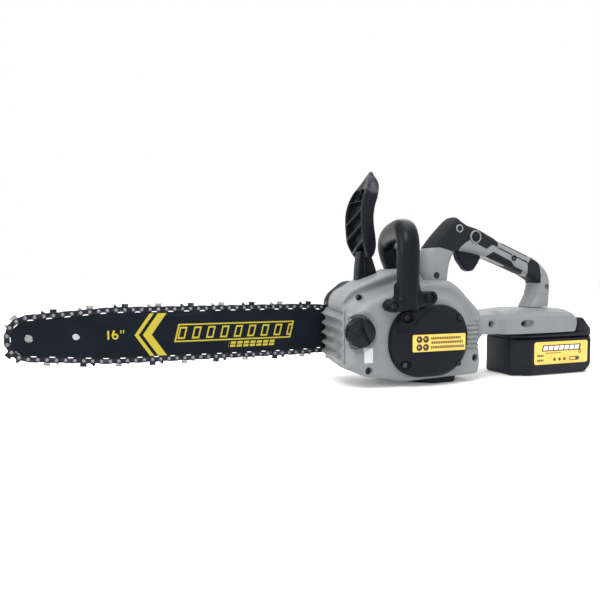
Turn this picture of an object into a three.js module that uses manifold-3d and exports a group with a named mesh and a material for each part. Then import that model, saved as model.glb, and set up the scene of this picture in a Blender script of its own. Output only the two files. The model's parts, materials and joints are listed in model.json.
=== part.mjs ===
// A 16 inch cordless chainsaw, in millimetres. +X runs to the rear, +Y to the bar side (the saw's
// right), +Z up. The origin is on the ground under the motor's axis, on the handle's mid-plane.
import * as THREE from "three";
import { mergeVertices } from "three/addons/utils/BufferGeometryUtils.js";
import Module from "manifold-3d";

const wasm = await Module();
wasm.setup();

// ---------------------------------------------------------------- driving dimensions
const GAP = 0.3; // between neighbouring pieces
const PARTING = 0; // the Y of the joint between the left and right mouldings
const WALL = 2.6; // moulded wall

const MOTOR = { x: 0, z: 57 }; // axis of the motor, along Y
const DRIVE = { x: -10.2, z: 70 }; // axis of the drive sprocket, along Y
const NOSE = { x: -475.6, z: 70 }; // axis of the sprocket in the bar's nose
const BAR_Y = 35.5; // mid-plane of the bar and chain
const BAR_THICK = 4;
const BAR_TAIL_X = -46;

const RIVET_RISE = 3.6; // chain rivets above the bar's edge
const STRAP_RISE = 4.2; // strap edges above and below the rivets
const CHAIN_HALF = 3.1; // half the chain's width across the straps
const GAUGE_HALF = 0.65; // half the drive links' thickness
const DRIVE_R = 21.4; // rivet circle on the 7-tooth sprocket
const NOSE_R = 21.5; // rivet circle round the nose
const BELLY = 30; // rivet line above the bar's centreline at its widest
const CUTTERS = 28;

const BODY_LEFT = -42;
const SPINE_LEFT = -26;
const BODY_RIGHT = 31;
const COVER_RIGHT = 61;
const HANDLE_HALF = 17.5;
const BATTERY_HALF = 38.5;
const BATTERY_TOP = 59;

const GUARD_PIVOT = { x: -66, z: 116 };
const TRIGGER_PIVOT = { x: 64, z: 180.5 };
const LOCK_BUTTON = { x: 80.7, z: 192.3 };
const OIL_CAP = { x: -106, z: 71.5 };
const STUDS_X = [-100, -72];
const TENSION = { x: -86, y: 26.1, z: 57 }; // tensioner block, and its screw's axis along X
const PEG_Z = 60; // the block's peg in the bar's hole

// ---------------------------------------------------------------- materials
const finish = (color, roughness, metalness = 0) =>
  new THREE.MeshStandardMaterial({ color, roughness, metalness });
const GREY_SHELL = finish(0x8f9699, 0.5);
const BLACK_SHELL = finish(0x1b1e22, 0.45);
const GRIP_RUBBER = finish(0x23272d, 0.8);
const CAST_GREY = finish(0x8d9492, 0.45, 0.4);
const BAR_PAINT = finish(0x10161f, 0.35, 0.3);
const STEEL = finish(0x9a9da0, 0.35, 1);
const DARK_STEEL = finish(0x3b3e42, 0.4, 1);
const TANK_PLASTIC = finish(0xe4e7e2, 0.4);
const COPPER = finish(0xa8663a, 0.4, 1);
const BOARD_GREEN = finish(0x2c5a3c, 0.6);
const CELL_BLUE = finish(0x3a6fa8, 0.4);

// ---------------------------------------------------------------- solids
// A closed three.js geometry as a manifold-3d solid.
function solid(geometry) {
  const bare = geometry.index ? geometry.toNonIndexed() : geometry.clone();
  bare.deleteAttribute("normal");
  bare.deleteAttribute("uv");
  const merged = mergeVertices(bare, 1e-3);
  return new wasm.Manifold(
    new wasm.Mesh({
      numProp: 3,
      vertProperties: merged.attributes.position.array,
      triVerts: new Uint32Array(merged.index.array),
    }),
  );
}

const saw = new THREE.Group();

// Adds a solid to the saw as one named mesh.
function add(name, body, material) {
  const made = body.getMesh();
  const geometry = new THREE.BufferGeometry();
  const position = new THREE.BufferAttribute(made.vertProperties, 3);
  geometry.setAttribute("position", position);
  geometry.setIndex(new THREE.BufferAttribute(made.triVerts, 1));
  geometry.computeVertexNormals();
  const mesh = new THREE.Mesh(geometry, material);
  mesh.name = name;
  saw.add(mesh);
}

const union = (...bodies) => bodies.reduce((whole, next) => whole.add(next));

// A ring of points round corners [a, b, radius], taken anticlockwise, moved inwards by inset.
// Arcs keep their centres, so a convex corner's radius shrinks and a hollow one's grows.
function ring(corners, inset = 0, steps = 3) {
  const points = [];
  corners.forEach(([a, b, radius = 0], i) => {
    const here = new THREE.Vector2(a, b);
    const [pa, pb] = corners[(i + corners.length - 1) % corners.length];
    const [na, nb] = corners[(i + 1) % corners.length];
    const into = here.clone().sub(new THREE.Vector2(pa, pb)).normalize();
    const out = new THREE.Vector2(na, nb).sub(here).normalize();
    const turn = Math.atan2(into.cross(out), into.dot(out));
    const miter = new THREE.Vector2(-into.y - out.y, into.x + out.x).divideScalar(1 + into.dot(out));
    const corner = here.addScaledVector(miter, inset);
    if (!radius) {
      points.push(corner);
      return;
    }
    const r = turn > 0 ? Math.max(radius - inset, 0.4) : radius + inset;
    const start = corner.clone().addScaledVector(into, -r * Math.tan(Math.abs(turn) / 2));
    const side = Math.sign(turn);
    const centre = start.clone().add(new THREE.Vector2(-into.y, into.x).multiplyScalar(side * r));
    for (let k = 0; k <= steps; k++)
      points.push(start.clone().rotateAround(centre, (turn * k) / steps));
  });
  return points;
}

// A closed body through rings at [height, inset], lowest first, along +Z of its own frame.
function stack(corners, levels, steps = 3) {
  const rings = levels.map(([, inset]) => ring(corners, inset, steps));
  const count = rings[0].length;
  const position = rings.flatMap((points, k) => points.flatMap((p) => [p.x, p.y, levels[k][0]]));
  const faces = [];
  for (let k = 0; k + 1 < levels.length; k++)
    for (let i = 0; i < count; i++) {
      const [a, b] = [k * count + i, k * count + ((i + 1) % count)];
      faces.push(a, b, b + count, a, b + count, a + count);
    }
  const last = (levels.length - 1) * count;
  for (const [a, b, c] of THREE.ShapeUtils.triangulateShape(rings[0], [])) faces.push(a, c, b);
  for (const [a, b, c] of THREE.ShapeUtils.triangulateShape(rings[levels.length - 1], []))
    faces.push(last + a, last + b, last + c);
  const geometry = new THREE.BufferGeometry();
  geometry.setAttribute("position", new THREE.Float32BufferAttribute(position, 3));
  geometry.setIndex(faces);
  return geometry;
}

// A side profile [x, z, radius] carried across the saw through [y, inset], lowest y first.
function across(corners, levels, steps = 3) {
  const turned = levels.map(([y, inset]) => [-y, inset]).reverse();
  return solid(stack(corners, turned, steps).rotateX(Math.PI / 2));
}

// A plan [x, y, radius] carried upwards through [z, inset], lowest z first.
const upwards = (corners, levels, steps = 3) => solid(stack(corners, levels, steps));

const plate = (corners, y0, y1, steps = 3) => across(corners, [[y0, 0], [y1, 0]], steps);

function box(x0, x1, y0, y1, z0, z1) {
  const block = new THREE.BoxGeometry(x1 - x0, y1 - y0, z1 - z0);
  return solid(block.translate((x0 + x1) / 2, (y0 + y1) / 2, (z0 + z1) / 2));
}

// A turned body about an axis along Y through (x, z), from a profile of [radius, y].
function turned({ x, z }, profile, segments = 24) {
  const points = profile.map(([r, y]) => new THREE.Vector2(r, y));
  if (profile[0][0] > 0) points.push(points[0].clone());
  return solid(new THREE.LatheGeometry(points, segments).translate(x, 0, z));
}

const rod = (at, radius, y0, y1, segments = 20) =>
  turned(at, [[0, y0], [radius, y0], [radius, y1], [0, y1]], segments);

const tube = (at, inner, outer, y0, y1, segments = 24) =>
  turned(at, [[inner, y0], [outer, y0], [outer, y1], [inner, y1]], segments);

// A rod along X, on the tensioner screw's axis unless another is given.
function alongX(x0, x1, r, segments = 12, at = TENSION) {
  const made = new THREE.CylinderGeometry(r, r, x1 - x0, segments).rotateZ(Math.PI / 2);
  return solid(made.translate((x0 + x1) / 2, at.y, at.z));
}

// The sides of the parting plane, as large blocks.
const LEFT_OF = box(-700, 400, -200, PARTING - GAP / 2, -100, 400);
const RIGHT_OF = box(-700, 400, PARTING + GAP / 2, 200, -100, 400);

// ---------------------------------------------------------------- motor housing
// The spine carries the parting plane; the bulge on the left holds the tank and the motor.
const SPINE = [
  [-118, 34, 12], [-40, 5.5, 60], [71, 9, 4], [76, 50, 8], [78, 92, 10], [45, 125.5, 6],
  [-8.5, 125.5, 2], [-8.5, 149, 4], [-42, 149, 30], [-84, 134, 24], [-118, 116, 20],
];
const BULGE = [
  [-117, 36, 16], [-95, 20, 40], [-40, 6.5, 60], [71, 10, 6], [74, 26, 8], [77, 92, 12],
  [43, 124.5, 8], [28, 134, 14], [-28, 129, 40], [-96, 108, 26], [-117, 88, 22],
];
const spineOuter = across(SPINE, [[SPINE_LEFT, 5], [SPINE_LEFT + 5, 0], [BODY_RIGHT - 1, 0], [BODY_RIGHT, 1]]);
const bulgeOuter = across(BULGE, [[BODY_LEFT, 9], [-40, 4.5], [-36.5, 1.6], [-31, 0], [-14, 0]]);
const spineInner = across(SPINE, [[SPINE_LEFT + WALL, 5 + WALL], [BODY_RIGHT - WALL, WALL]]);
const bulgeInner = across(BULGE, [[BODY_LEFT + WALL, 9 + WALL], [-34, WALL + 1], [-30, WALL], [-12, WALL]]);
const housingSkin = spineOuter.add(bulgeOuter).subtract(spineInner.add(bulgeInner));

// What both mouldings are cut by: the guard's slot, the cap's seat, the tank windows, the vents.
const guardSlot = box(-99, -42, 8.4, 23.6, 119, 160);
const capSeat = rod(OIL_CAP, 20.5, BODY_LEFT - 2, BODY_LEFT + 5, 28);
const neckHole = rod(OIL_CAP, 15.6, BODY_LEFT - 2, -20, 24);
const lowerWindow = box(-99, -87, BODY_LEFT - 2, -30, 33, 49.6);
const frontWindow = plate([[-116, 59], [-104, 59], [-104, 87], [-116, 87]], BODY_LEFT - 2, -20);
const rearVents = union(
  ...[36, 44, 52, 60, 68].map((z) => box(60, 84, -30, -12, z, z + 3)),
  ...[36, 44, 52, 60, 68].map((z) => box(60, 84, 8, 24, z, z + 3)),
);
const motorPort = rod(MOTOR, 31, BODY_LEFT - 1, BODY_LEFT + 8, 36);
const sidePins = [[-72, 104], [-21, 113]]; // front-handle screws on the left
const sideScrewHoles = union(
  ...sidePins.map(([x, z]) => rod({ x, z }, 2.4, BODY_LEFT - 1, BODY_LEFT + 8, 12)),
);
const driveHole = rod(DRIVE, 11.3, 20, BODY_RIGHT + 1, 24);
const studHoles = union(...STUDS_X.map((x) => rod({ x, z: NOSE.z }, 4.3, 20, BODY_RIGHT + 1, 16)));
const tensionHole = box(-96, -76, 20, BODY_RIGHT + 1, TENSION.z - 5.5, TENSION.z + 5.5);
const handleSeat = box(-7.2, 44, -18, 18, 125.2, 145);

const bearingSeat = (at, y0, y1, r) => tube(at, r + GAP, r + 4, y0, y1, 24);
const leftRib = box(-30, 40, -13.4, -10.8, 8, 27.6).add(box(-30, 40, -13.4, -10.8, 86.4, 124.5));

add(
  "housing_left",
  housingSkin
    .intersect(LEFT_OF)
    .add(leftRib)
    .subtract(capSeat)
    .subtract(neckHole)
    .subtract(lowerWindow)
    .subtract(frontWindow)
    .subtract(rearVents)
    .subtract(motorPort)
    .subtract(sideScrewHoles)
    .subtract(handleSeat),
  GREY_SHELL,
);

const gearWall = box(-84, 56, 4, 6.6, 0, 160)
  .intersect(across(SPINE, [[0.5, 1], [28, 1]]))
  .subtract(rod(MOTOR, 8.2 + GAP, 0, 12, 24))
  .subtract(rod(GUARD_PIVOT, 2.35, 0, 12, 12));
const rightHousing = housingSkin
  .intersect(RIGHT_OF)
  .add(gearWall)
  .add(bearingSeat(MOTOR, 4, 11.6, 8.2).intersect(RIGHT_OF))
  .add(bearingSeat(DRIVE, 21.4, 29, 11.3))
  .add(tube({ x: GUARD_PIVOT.x, z: GUARD_PIVOT.z }, 2.35, 5.4, 2.5, 8.1, 16))
  .add(tube({ x: GUARD_PIVOT.x, z: GUARD_PIVOT.z }, 2.35, 5.4, 23.9, 28.6, 16));
add(
  "housing_right",
  rightHousing
    .subtract(guardSlot)
    .subtract(rearVents)
    .subtract(driveHole)
    .subtract(studHoles)
    .subtract(tensionHole)
    .subtract(alongX(-120, -110, 2.3))
    .subtract(handleSeat),
  GREY_SHELL,
);

// The foot under the housing fills up to its underside, less a hair's gap.
const SKID_PLAN = [
  [4, -36, 3], [39, -35, 3], [39, 30, 6], [-51, 30, 8], [-47, 16, 20], [-29, -9, 20], [-13, -23, 10],
];
const lowered = (corners) => corners.map(([x, z, r]) => [x, z - GAP, r]);
const underside = plate(lowered(SPINE), SPINE_LEFT - GAP, BODY_RIGHT + GAP)
  .add(plate(lowered(BULGE), BODY_LEFT - GAP, -14));
add("base_skid", upwards(SKID_PLAN, [[0, 2.5], [2.5, 0], [14, 0]]).subtract(underside), BLACK_SHELL);

// Cast spikes on the saw's nose: a comb profile carried across the front.
const spikeTips = [91, 78.3, 65.6, 52.9, 40.2];
const spikeProfile = [
  [-118.4, 30, 0], [-118.4, 98, 0], [-122, 98.5, 0],
  ...spikeTips.flatMap((z) => [[-126.5, z + 0.7, 0], [-126.5, z - 0.7, 0], [-121.4, z - 6.2, 0]]),
].slice(0, -1);
spikeProfile.push([-122, 31, 0]);
add("bumper_spikes", plate(spikeProfile, -27, 30.5).subtract(alongX(-130, -110, 4.2, 16)), CAST_GREY);

// ---------------------------------------------------------------- motor cover
const COVER = [[-66.5, 12, 43], [47, 12, 46], [47, 103.2, 40], [-66.5, 103.2, 44]];
const coverScrews = [[-44.5, 88], [-47, 29], [34, 86], [33, 27]];
const coverShell = across(COVER, [[-54, 7], [-52.6, 3], [-49.5, 0.6], [-46, 0], [BODY_LEFT - GAP, 0]], 7)
  .subtract(across(COVER, [[-51.4, 8.5], [-46, 3], [BODY_LEFT + 1, 3]], 7))
  .add(union(...coverScrews.map(([x, z]) => rod({ x, z }, 6.2, -51.6, BODY_LEFT - GAP, 16))))
  .subtract(union(...coverScrews.map(([x, z]) => rod({ x, z }, 4.2, -56, -46.6, 16))))
  .subtract(union(...coverScrews.map(([x, z]) => rod({ x, z }, 2.2, -48, -40, 12))))
  .subtract(
    union(...[34, 42, 50, 58, 66, 74, 82].map((z) => box(30, 60, -50.5, -45.5, z - 1.6, z + 1.6))),
  );
add("motor_cover", coverShell, BLACK_SHELL);
coverScrews.forEach(([x, z], i) =>
  add(`cover_screw_${i + 1}`, rod({ x, z }, 3.7, -49.6, -47, 12).add(rod({ x, z }, 1.7, -48, -42.6, 8)), DARK_STEEL),
);

// ---------------------------------------------------------------- motor, gears and sprocket
// Involute teeth are close to trapezoids at this size: each tooth is four points on two circles.
function gear(at, teeth, module, y0, y1, bore, phase = 0) {
  const [tip, root] = [(teeth / 2 + 0.86) * module, (teeth / 2 - 1.25) * module];
  const pitch = (2 * Math.PI) / teeth;
  const points = [];
  for (let i = 0; i < teeth; i++)
    for (const [share, r] of [[-0.31, root], [-0.1, tip], [0.1, tip], [0.31, root]]) {
      const angle = phase + (i + share) * pitch;
      points.push([at.x + r * Math.cos(angle), at.z + r * Math.sin(angle)]);
    }
  return plate(points, y0, y1).subtract(rod(at, bore, y0 - 1, y1 + 1, 16));
}
const PINION_TEETH = 9;
const GEAR_TEETH = 24;
const MODULE = Math.hypot(MOTOR.x - DRIVE.x, MOTOR.z - DRIVE.z) * (2 / (PINION_TEETH + GEAR_TEETH));
const towardsDrive = Math.atan2(DRIVE.z - MOTOR.z, DRIVE.x - MOTOR.x);

add(
  "motor_stator",
  tube(MOTOR, 13.5, 29, -34, -12, 36).subtract(
    union(
      ...[...Array(9).keys()].map((i) => {
        const slot = new THREE.BoxGeometry(11, 40, 3.2).translate(20.5, -23, 0);
        return solid(slot.rotateY((i * 2 * Math.PI) / 9).translate(MOTOR.x, 0, MOTOR.z));
      }),
    ),
  ),
  COPPER,
);
add("motor_rotor", tube(MOTOR, 4.2, 12.8, -33, -13, 24), DARK_STEEL);
add("motor_shaft", turned(MOTOR, [[0, -41], [3.9, -41], [3.9, 12], [2, 12], [2, 20.6], [0, 20.6]], 16), STEEL);
add("motor_bearing_left", tube(MOTOR, 4.2, 8, -40.8, -36.4, 24), STEEL);
add("motor_bearing_right", tube(MOTOR, 4.2, 8, 4.4, 11.2, 24), STEEL);
add("motor_pinion", gear(MOTOR, PINION_TEETH, MODULE, 12.4, 20.2, 2.2, towardsDrive), DARK_STEEL);
const fanBlades = [...Array(9).keys()].map((i) => {
  const blade = new THREE.BoxGeometry(13, 6.5, 1.4).translate(16.5, -5.6, 0);
  return solid(blade.rotateY((i * 2 * Math.PI) / 9).translate(MOTOR.x, 0, MOTOR.z));
});
add("cooling_fan", tube(MOTOR, 4.2, 12, -9, -2, 24).add(tube(MOTOR, 4.2, 23.5, -3.4, -2, 24)).add(union(...fanBlades)), BLACK_SHELL);

// The gear's gap, half a pitch from a tooth, faces the pinion's tooth.
const facing = towardsDrive + Math.PI + Math.PI / GEAR_TEETH;
add("drive_gear", gear(DRIVE, GEAR_TEETH, MODULE, 13, 19.6, 5.3, facing), DARK_STEEL);
add(
  "sprocket_shaft",
  turned(
    DRIVE,
    [[0, 7.1], [4.3, 7.1], [4.3, 12.2], [5, 12.2], [5, 20.8], [6, 20.8], [6, 30], [5, 30], [5, 56], [3.6, 56], [3.6, 57.6], [0, 57.6]],
    20,
  ),
  STEEL,
);
add("sprocket_bearing", tube(DRIVE, 6.3, 11, 21.6, 28.2, 24), STEEL);

function sprocket(at, teeth, tip, root, y0, y1, bore) {
  const points = [];
  for (let i = 0; i < teeth; i++)
    for (const [share, r] of [[-0.3, root], [-0.17, tip], [0.17, tip], [0.3, root]]) {
      const angle = ((i + share) * 2 * Math.PI) / teeth;
      points.push([at.x + r * Math.cos(angle), at.z + r * Math.sin(angle)]);
    }
  return plate(points, y0, y1).subtract(rod(at, bore, y0 - 1, y1 + 1, 20));
}
add("drive_sprocket", sprocket(DRIVE, 7, 16.4, 12.4, BAR_Y - 3.4, BAR_Y + 3.4, 5.3), DARK_STEEL);
add("brake_drum", tube(DRIVE, 26.4, 29, 41.6, 54, 32).add(tube(DRIVE, 5.3, 27, 39.5, 41.9, 32)), STEEL);
add("sprocket_clip", tube(DRIVE, 3.75, 7.4, 56.3, 57.3, 16).subtract(box(DRIVE.x, DRIVE.x + 9, 55, 60, DRIVE.z - 2.6, DRIVE.z + 2.6)), DARK_STEEL);
const bandGap = box(DRIVE.x - 16, DRIVE.x + 2, 40, 56, DRIVE.z + 20, DRIVE.z + 36);
add(
  "brake_band",
  tube(DRIVE, 29.8, 31, 42.8, 52.8, 32).subtract(bandGap).add(box(-29, -26.4, 42.8, 52.8, 94.9, 103)),
  STEEL,
);

// ---------------------------------------------------------------- bar and chain
// The rivet line of the chain: round the nose, over the bar's swell, and round the sprocket.
const loop = [
  [NOSE.x - NOSE_R, NOSE.z - NOSE_R, NOSE_R], [-390, NOSE.z - BELLY, 300],
  [-150, NOSE.z - BELLY, 400], [DRIVE.x + DRIVE_R, DRIVE.z - DRIVE_R, DRIVE_R],
  [DRIVE.x + DRIVE_R, DRIVE.z + DRIVE_R, DRIVE_R], [-150, NOSE.z + BELLY, 400],
  [-390, NOSE.z + BELLY, 300], [NOSE.x - NOSE_R, NOSE.z + NOSE_R, NOSE_R],
];
const LOOP_STEPS = 8;
const loopPlate = (inset, half) => across(loop, [[BAR_Y - half, inset], [BAR_Y + half, inset]], LOOP_STEPS);
const tail = plate([[-600, 20], [BAR_TAIL_X, 20], [BAR_TAIL_X, 120], [-600, 120]], 20, 60)
  .subtract(plate([[BAR_TAIL_X - 8, 0], [0, 0], [0, 60], [BAR_TAIL_X, 53]], 10, 70))
  .subtract(plate([[BAR_TAIL_X, 87], [0, 80], [0, 140], [BAR_TAIL_X - 8, 140]], 10, 70));
const GROOVE_HALF = 0.95;
const groove = loopPlate(-5, GROOVE_HALF).subtract(loopPlate(RIVET_RISE + 6.4, 4));
const nosePocket = rod(NOSE, 16.4, BAR_Y - GROOVE_HALF, BAR_Y + GROOVE_HALF, 32).add(
  box(NOSE.x - 30, NOSE.x, BAR_Y - GROOVE_HALF, BAR_Y + GROOVE_HALF, NOSE.z - 15, NOSE.z + 15),
);
const barSlot = plate(
  [[-108, NOSE.z - 4.2, 4.1], [-54, NOSE.z - 4.2, 4.1], [-54, NOSE.z + 4.2, 4.1], [-108, NOSE.z + 4.2, 4.1]],
  20, 60,
);
const hangHoles = union(
  rod({ x: TENSION.x, z: 2 * NOSE.z - PEG_Z }, 2.6, 20, 60, 16),
  rod({ x: TENSION.x, z: PEG_Z }, 2.6, 20, 60, 16),
);
const RIVETS_X = [NOSE.x, -427];
const noseBore = rod(NOSE, 4.35, 20, 60, 16);
const midBore = rod({ x: RIVETS_X[1], z: NOSE.z }, 3.85, 20, 60, 16);
add(
  "guide_bar",
  loopPlate(RIVET_RISE, BAR_THICK / 2)
    .intersect(tail)
    .subtract(groove.subtract(box(-200, 50, 30, 40, NOSE.z - 15, NOSE.z + 15)))
    .subtract(nosePocket)
    .subtract(barSlot)
    .subtract(hangHoles)
    .subtract(noseBore)
    .subtract(midBore),
  BAR_PAINT,
);
add("nose_rivet", rod(NOSE, 4.05, BAR_Y - 2.3, BAR_Y + 2.3, 16), STEEL);
add("bar_rivet", rod({ x: RIVETS_X[1], z: NOSE.z }, 3.55, BAR_Y - 2.3, BAR_Y + 2.3, 16), STEEL);
add("nose_sprocket", sprocket(NOSE, 7, 15.6, 11, BAR_Y - 0.6, BAR_Y + 0.6, 4.35), STEEL);

// Straps and tangs as one closed loop. The tangs stop short of both sprockets.
const straps = loopPlate(-STRAP_RISE, CHAIN_HALF).subtract(loopPlate(RIVET_RISE - GAP, 5));
const tangs = loopPlate(RIVET_RISE - 0.5, GAUGE_HALF)
  .subtract(loopPlate(RIVET_RISE + 4.6, 4))
  .subtract(rod(DRIVE, 40, 20, 60, 24))
  .subtract(rod(NOSE, 24, 20, 60, 24));
// Cutters sit at equal steps along the rivet line, left and right in turn.
const line = new THREE.CurvePath();
const linePoints = ring(loop, 0, 24).map((p) => new THREE.Vector3(p.x, p.y, 0));
linePoints.forEach((p, i) => line.add(new THREE.LineCurve3(p, linePoints[(i + 1) % linePoints.length])));
const cutters = [...Array(CUTTERS).keys()].map((i) => {
  const share = (i + 0.35) / CUTTERS;
  const [at, along] = [line.getPointAt(share), line.getTangentAt(share)];
  const side = i % 2 ? 1.5 : -1.5;
  const tooth = new THREE.BoxGeometry(9, 3.6, 3.4).translate(0, side, -(STRAP_RISE + 1.2));
  tooth.rotateY(-Math.atan2(along.y, along.x));
  return solid(tooth.translate(at.x, BAR_Y, at.y));
});
add("saw_chain", straps.add(tangs).add(union(...cutters)), DARK_STEEL);

// Bar studs, nuts and the chain tensioner.
STUDS_X.forEach((x, i) => {
  const at = { x, z: NOSE.z };
  add(`bar_stud_${i + 1}`, rod(at, 4, 27, 66, 16).add(rod(at, 6.5, 24.6, 28.1, 6)), STEEL);
  const nut = rod(at, 7.2, COVER_RIGHT + 1.8, COVER_RIGHT + 8, 6).add(rod(at, 9, COVER_RIGHT + GAP, COVER_RIGHT + 2, 20));
  add(`bar_nut_${i + 1}`, nut.subtract(rod(at, 4.25, 50, 80, 16)), STEEL);
});
// The block carries a peg that stands in the bar's hole and travels with the bar.
add(
  "tensioner_block",
  box(TENSION.x - 4, TENSION.x + 4, 22.8, 33, TENSION.z - 4.6, TENSION.z + 4.6)
    .add(rod({ x: TENSION.x, z: PEG_Z }, 2.2, 32, 37.2, 12))
    .subtract(alongX(TENSION.x - 6, TENSION.x + 6, 2.3)),
  DARK_STEEL,
);
add("tensioner_screw", alongX(-119, -78, 2).add(alongX(-122, -118.4, 3.8, 16)), STEEL);

// ---------------------------------------------------------------- sprocket cover
const CHAIN_CASE = [
  [-112, 30, 14], [32, 30, 34], [32, 112, 30], [10, 133, 30], [-84, 133, 24], [-112, 112, 24],
];
const caseShell = across(CHAIN_CASE, [[BODY_RIGHT + GAP, 0], [57, 0], [60, 2], [COVER_RIGHT, 5]], 5)
  .subtract(across(CHAIN_CASE, [[BODY_RIGHT - 1, 2.6], [56, 2.6], [58.6, 5]], 5))
  .add(box(-112 + 1, -58, 39.4, 58.8, 55, 85))
  .subtract(box(-125, -100, 30, 41.2, 33, 107.5))
  .subtract(box(-108, -60, 30, 39.4, 50, 90))
  .subtract(union(...STUDS_X.map((x) => rod({ x, z: NOSE.z }, 4.5, 30, 70, 16))))
  .subtract(rod(DRIVE, 31.6, 38, 58.4, 32));
add("sprocket_cover", caseShell.intersect(box(-112, 33, 31, 62, 29, 134)), BLACK_SHELL);

// ---------------------------------------------------------------- oil tank, cap and pump
const tankBody = across(
  [[-113, 42, 8], [-92, 27.5, 16], [-70, 22, 8], [-70, 100, 10], [-96, 100, 14], [-113, 86, 10]],
  [[-36, 3], [-33, 0], [-12.5, 0]],
);
const tankCavity = across(
  [[-113, 42, 8], [-92, 27.5, 16], [-70, 22, 8], [-70, 100, 10], [-96, 100, 14], [-113, 86, 10]],
  [[-34, 5], [-31, 2.2], [-14.7, 2.2]],
);
add(
  "oil_tank",
  tankBody
    .add(rod(OIL_CAP, 15, -38.6, -33, 24))
    .add(box(-98.7, -87.3, -38.8, -33, 33.3, 49.3))
    .subtract(tankCavity)
    .subtract(rod(OIL_CAP, 12.6, -45, -30, 24)),
  TANK_PLASTIC,
);
add("oil_cap_plug", rod(OIL_CAP, 12, -38.9, -30.6, 24).add(rod(OIL_CAP, 3, -41, -38, 12)), BLACK_SHELL);
const capDisc = turned(OIL_CAP, [[0, -51.5], [17.5, -51.5], [18.8, -50], [18.8, -41], [18, -39.2], [3.3, -39.2], [3.3, -42.6], [0, -42.6]], 24);
const capGrip = plate([[-96, 56.5, 2], [-88.4, 66, 6], [-88.4, 77, 6], [-96, 86.5, 2], [-99.5, 80, 6], [-99.5, 63, 6]], -57.5, -50);
add("oil_cap", capDisc.add(capGrip), BLACK_SHELL);
// The pump hangs on the gear wall; its plunger's wheel stands over the worm on the drive shaft.
const PLUNGER = { y: 9.8, z: DRIVE.z + 4.3 + 2.8 + 0.25 };
add(
  "oil_pump",
  box(-50, -25, 6.9, 20, PLUNGER.z - 7, PLUNGER.z + 8).subtract(alongX(-46, -20, 2.3, 12, PLUNGER)),
  CAST_GREY,
);
add("pump_gear", alongX(-44, -12, 2, 12, PLUNGER).add(alongX(-12.4, -8, 2.8, 16, PLUNGER)), DARK_STEEL);

// ---------------------------------------------------------------- front handle and hand guard
const LEFT_LEG_X = -48;
const GRIP_TOP = 195.5;
const nearFoot = [LEFT_LEG_X, -57, 104];
const nearBend = [LEFT_LEG_X, -57, GRIP_TOP + 1];
const farBend = [-15, 57, GRIP_TOP - 6];
const farFoot = [-2, 50, 140];
const between = (a, b, t) => a.map((v, i) => v + (b[i] - v) * t);
const handleCurve = new THREE.CatmullRomCurve3(
  [
    nearFoot, between(nearFoot, nearBend, 0.35), between(nearFoot, nearBend, 0.7),
    between(nearBend, farBend, 0.06).map((v, i) => (i === 2 ? v - 9 : v)),
    between(nearBend, farBend, 0.22).map((v, i) => (i === 2 ? v - 0.5 : v)),
    between(nearBend, farBend, 0.5), between(nearBend, farBend, 0.78).map((v, i) => (i === 2 ? v - 0.5 : v)),
    between(nearBend, farBend, 0.95).map((v, i) => (i === 2 ? v - 9 : v)), between(farBend, farFoot, 0.5), farFoot,
  ].map((p) => new THREE.Vector3(...p)),
);
const HANDLE_R = 13.5;
const gripSection = new THREE.Shape().absarc(0, 0, HANDLE_R, 0, 2 * Math.PI);
const handleTube = solid(
  new THREE.ExtrudeGeometry(gripSection, { steps: 26, extrudePath: handleCurve, curveSegments: 7 }),
);
// The left foot is a plate with two bossed ears; the right one sits on the chain case's top.
const nearPlate = plate(
  [[-61, 96, 4], [-36, 101, 3], [-33, 106, 2], [-22, 107, 6], [-15, 113, 6], [-21, 119, 6], [-33, 121, 3], [-61.4, 121, 3]],
  -67, BODY_LEFT - GAP, 3,
);
const ears = union(...sidePins.map(([x, z]) => rod({ x, z }, 8, -60, BODY_LEFT - GAP, 20)));
const earBridge = plate([[-72, 96.2, 3], [-56, 97, 3], [-56, 111.8, 3], [-72, 111.8, 3]], -58, BODY_LEFT - GAP, 3);
const farPlate = plate([[-19, 134, 6], [14, 134, 6], [12, 150, 8], [-14, 150, 8]], 36.5, 60, 3);
const nearHoles = union(
  ...sidePins.map(([x, z]) => rod({ x, z }, 4.6, -75, -52, 16).add(rod({ x, z }, 2.3, -60, -40, 12))),
);
add(
  "front_handle",
  handleTube.add(nearPlate).add(ears).add(earBridge).add(farPlate).subtract(nearHoles),
  BLACK_SHELL,
);
sidePins.forEach(([x, z], i) =>
  add(`handle_screw_${i + 1}`, rod({ x, z }, 4, -55, -52.2, 12).add(rod({ x, z }, 1.9, -53, -37, 8)), DARK_STEEL),
);

// The guard leans back: a ribbed paddle above, and an arm down to its pivot inside the housing.
const paddleSide = [
  [-79, 167.5, 3], [-64.5, 171.5, 5], [-62.8, 180, 6], [-65.8, 206, 30], [-65.2, 228, 20], [-59.5, 246, 12],
  [-58.8, 260, 4], [-70.5, 275.5, 1], [-78, 257, 10], [-84, 236, 30], [-86, 190, 40],
];
const paddleFront = [
  [-5, 160, 6], [40, 160, 6], [43, 186, 20], [42, 222, 40], [31, 255, 14], [3, 276.5, 3], [-4.4, 275, 2],
  [-5, 240, 0],
];
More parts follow.
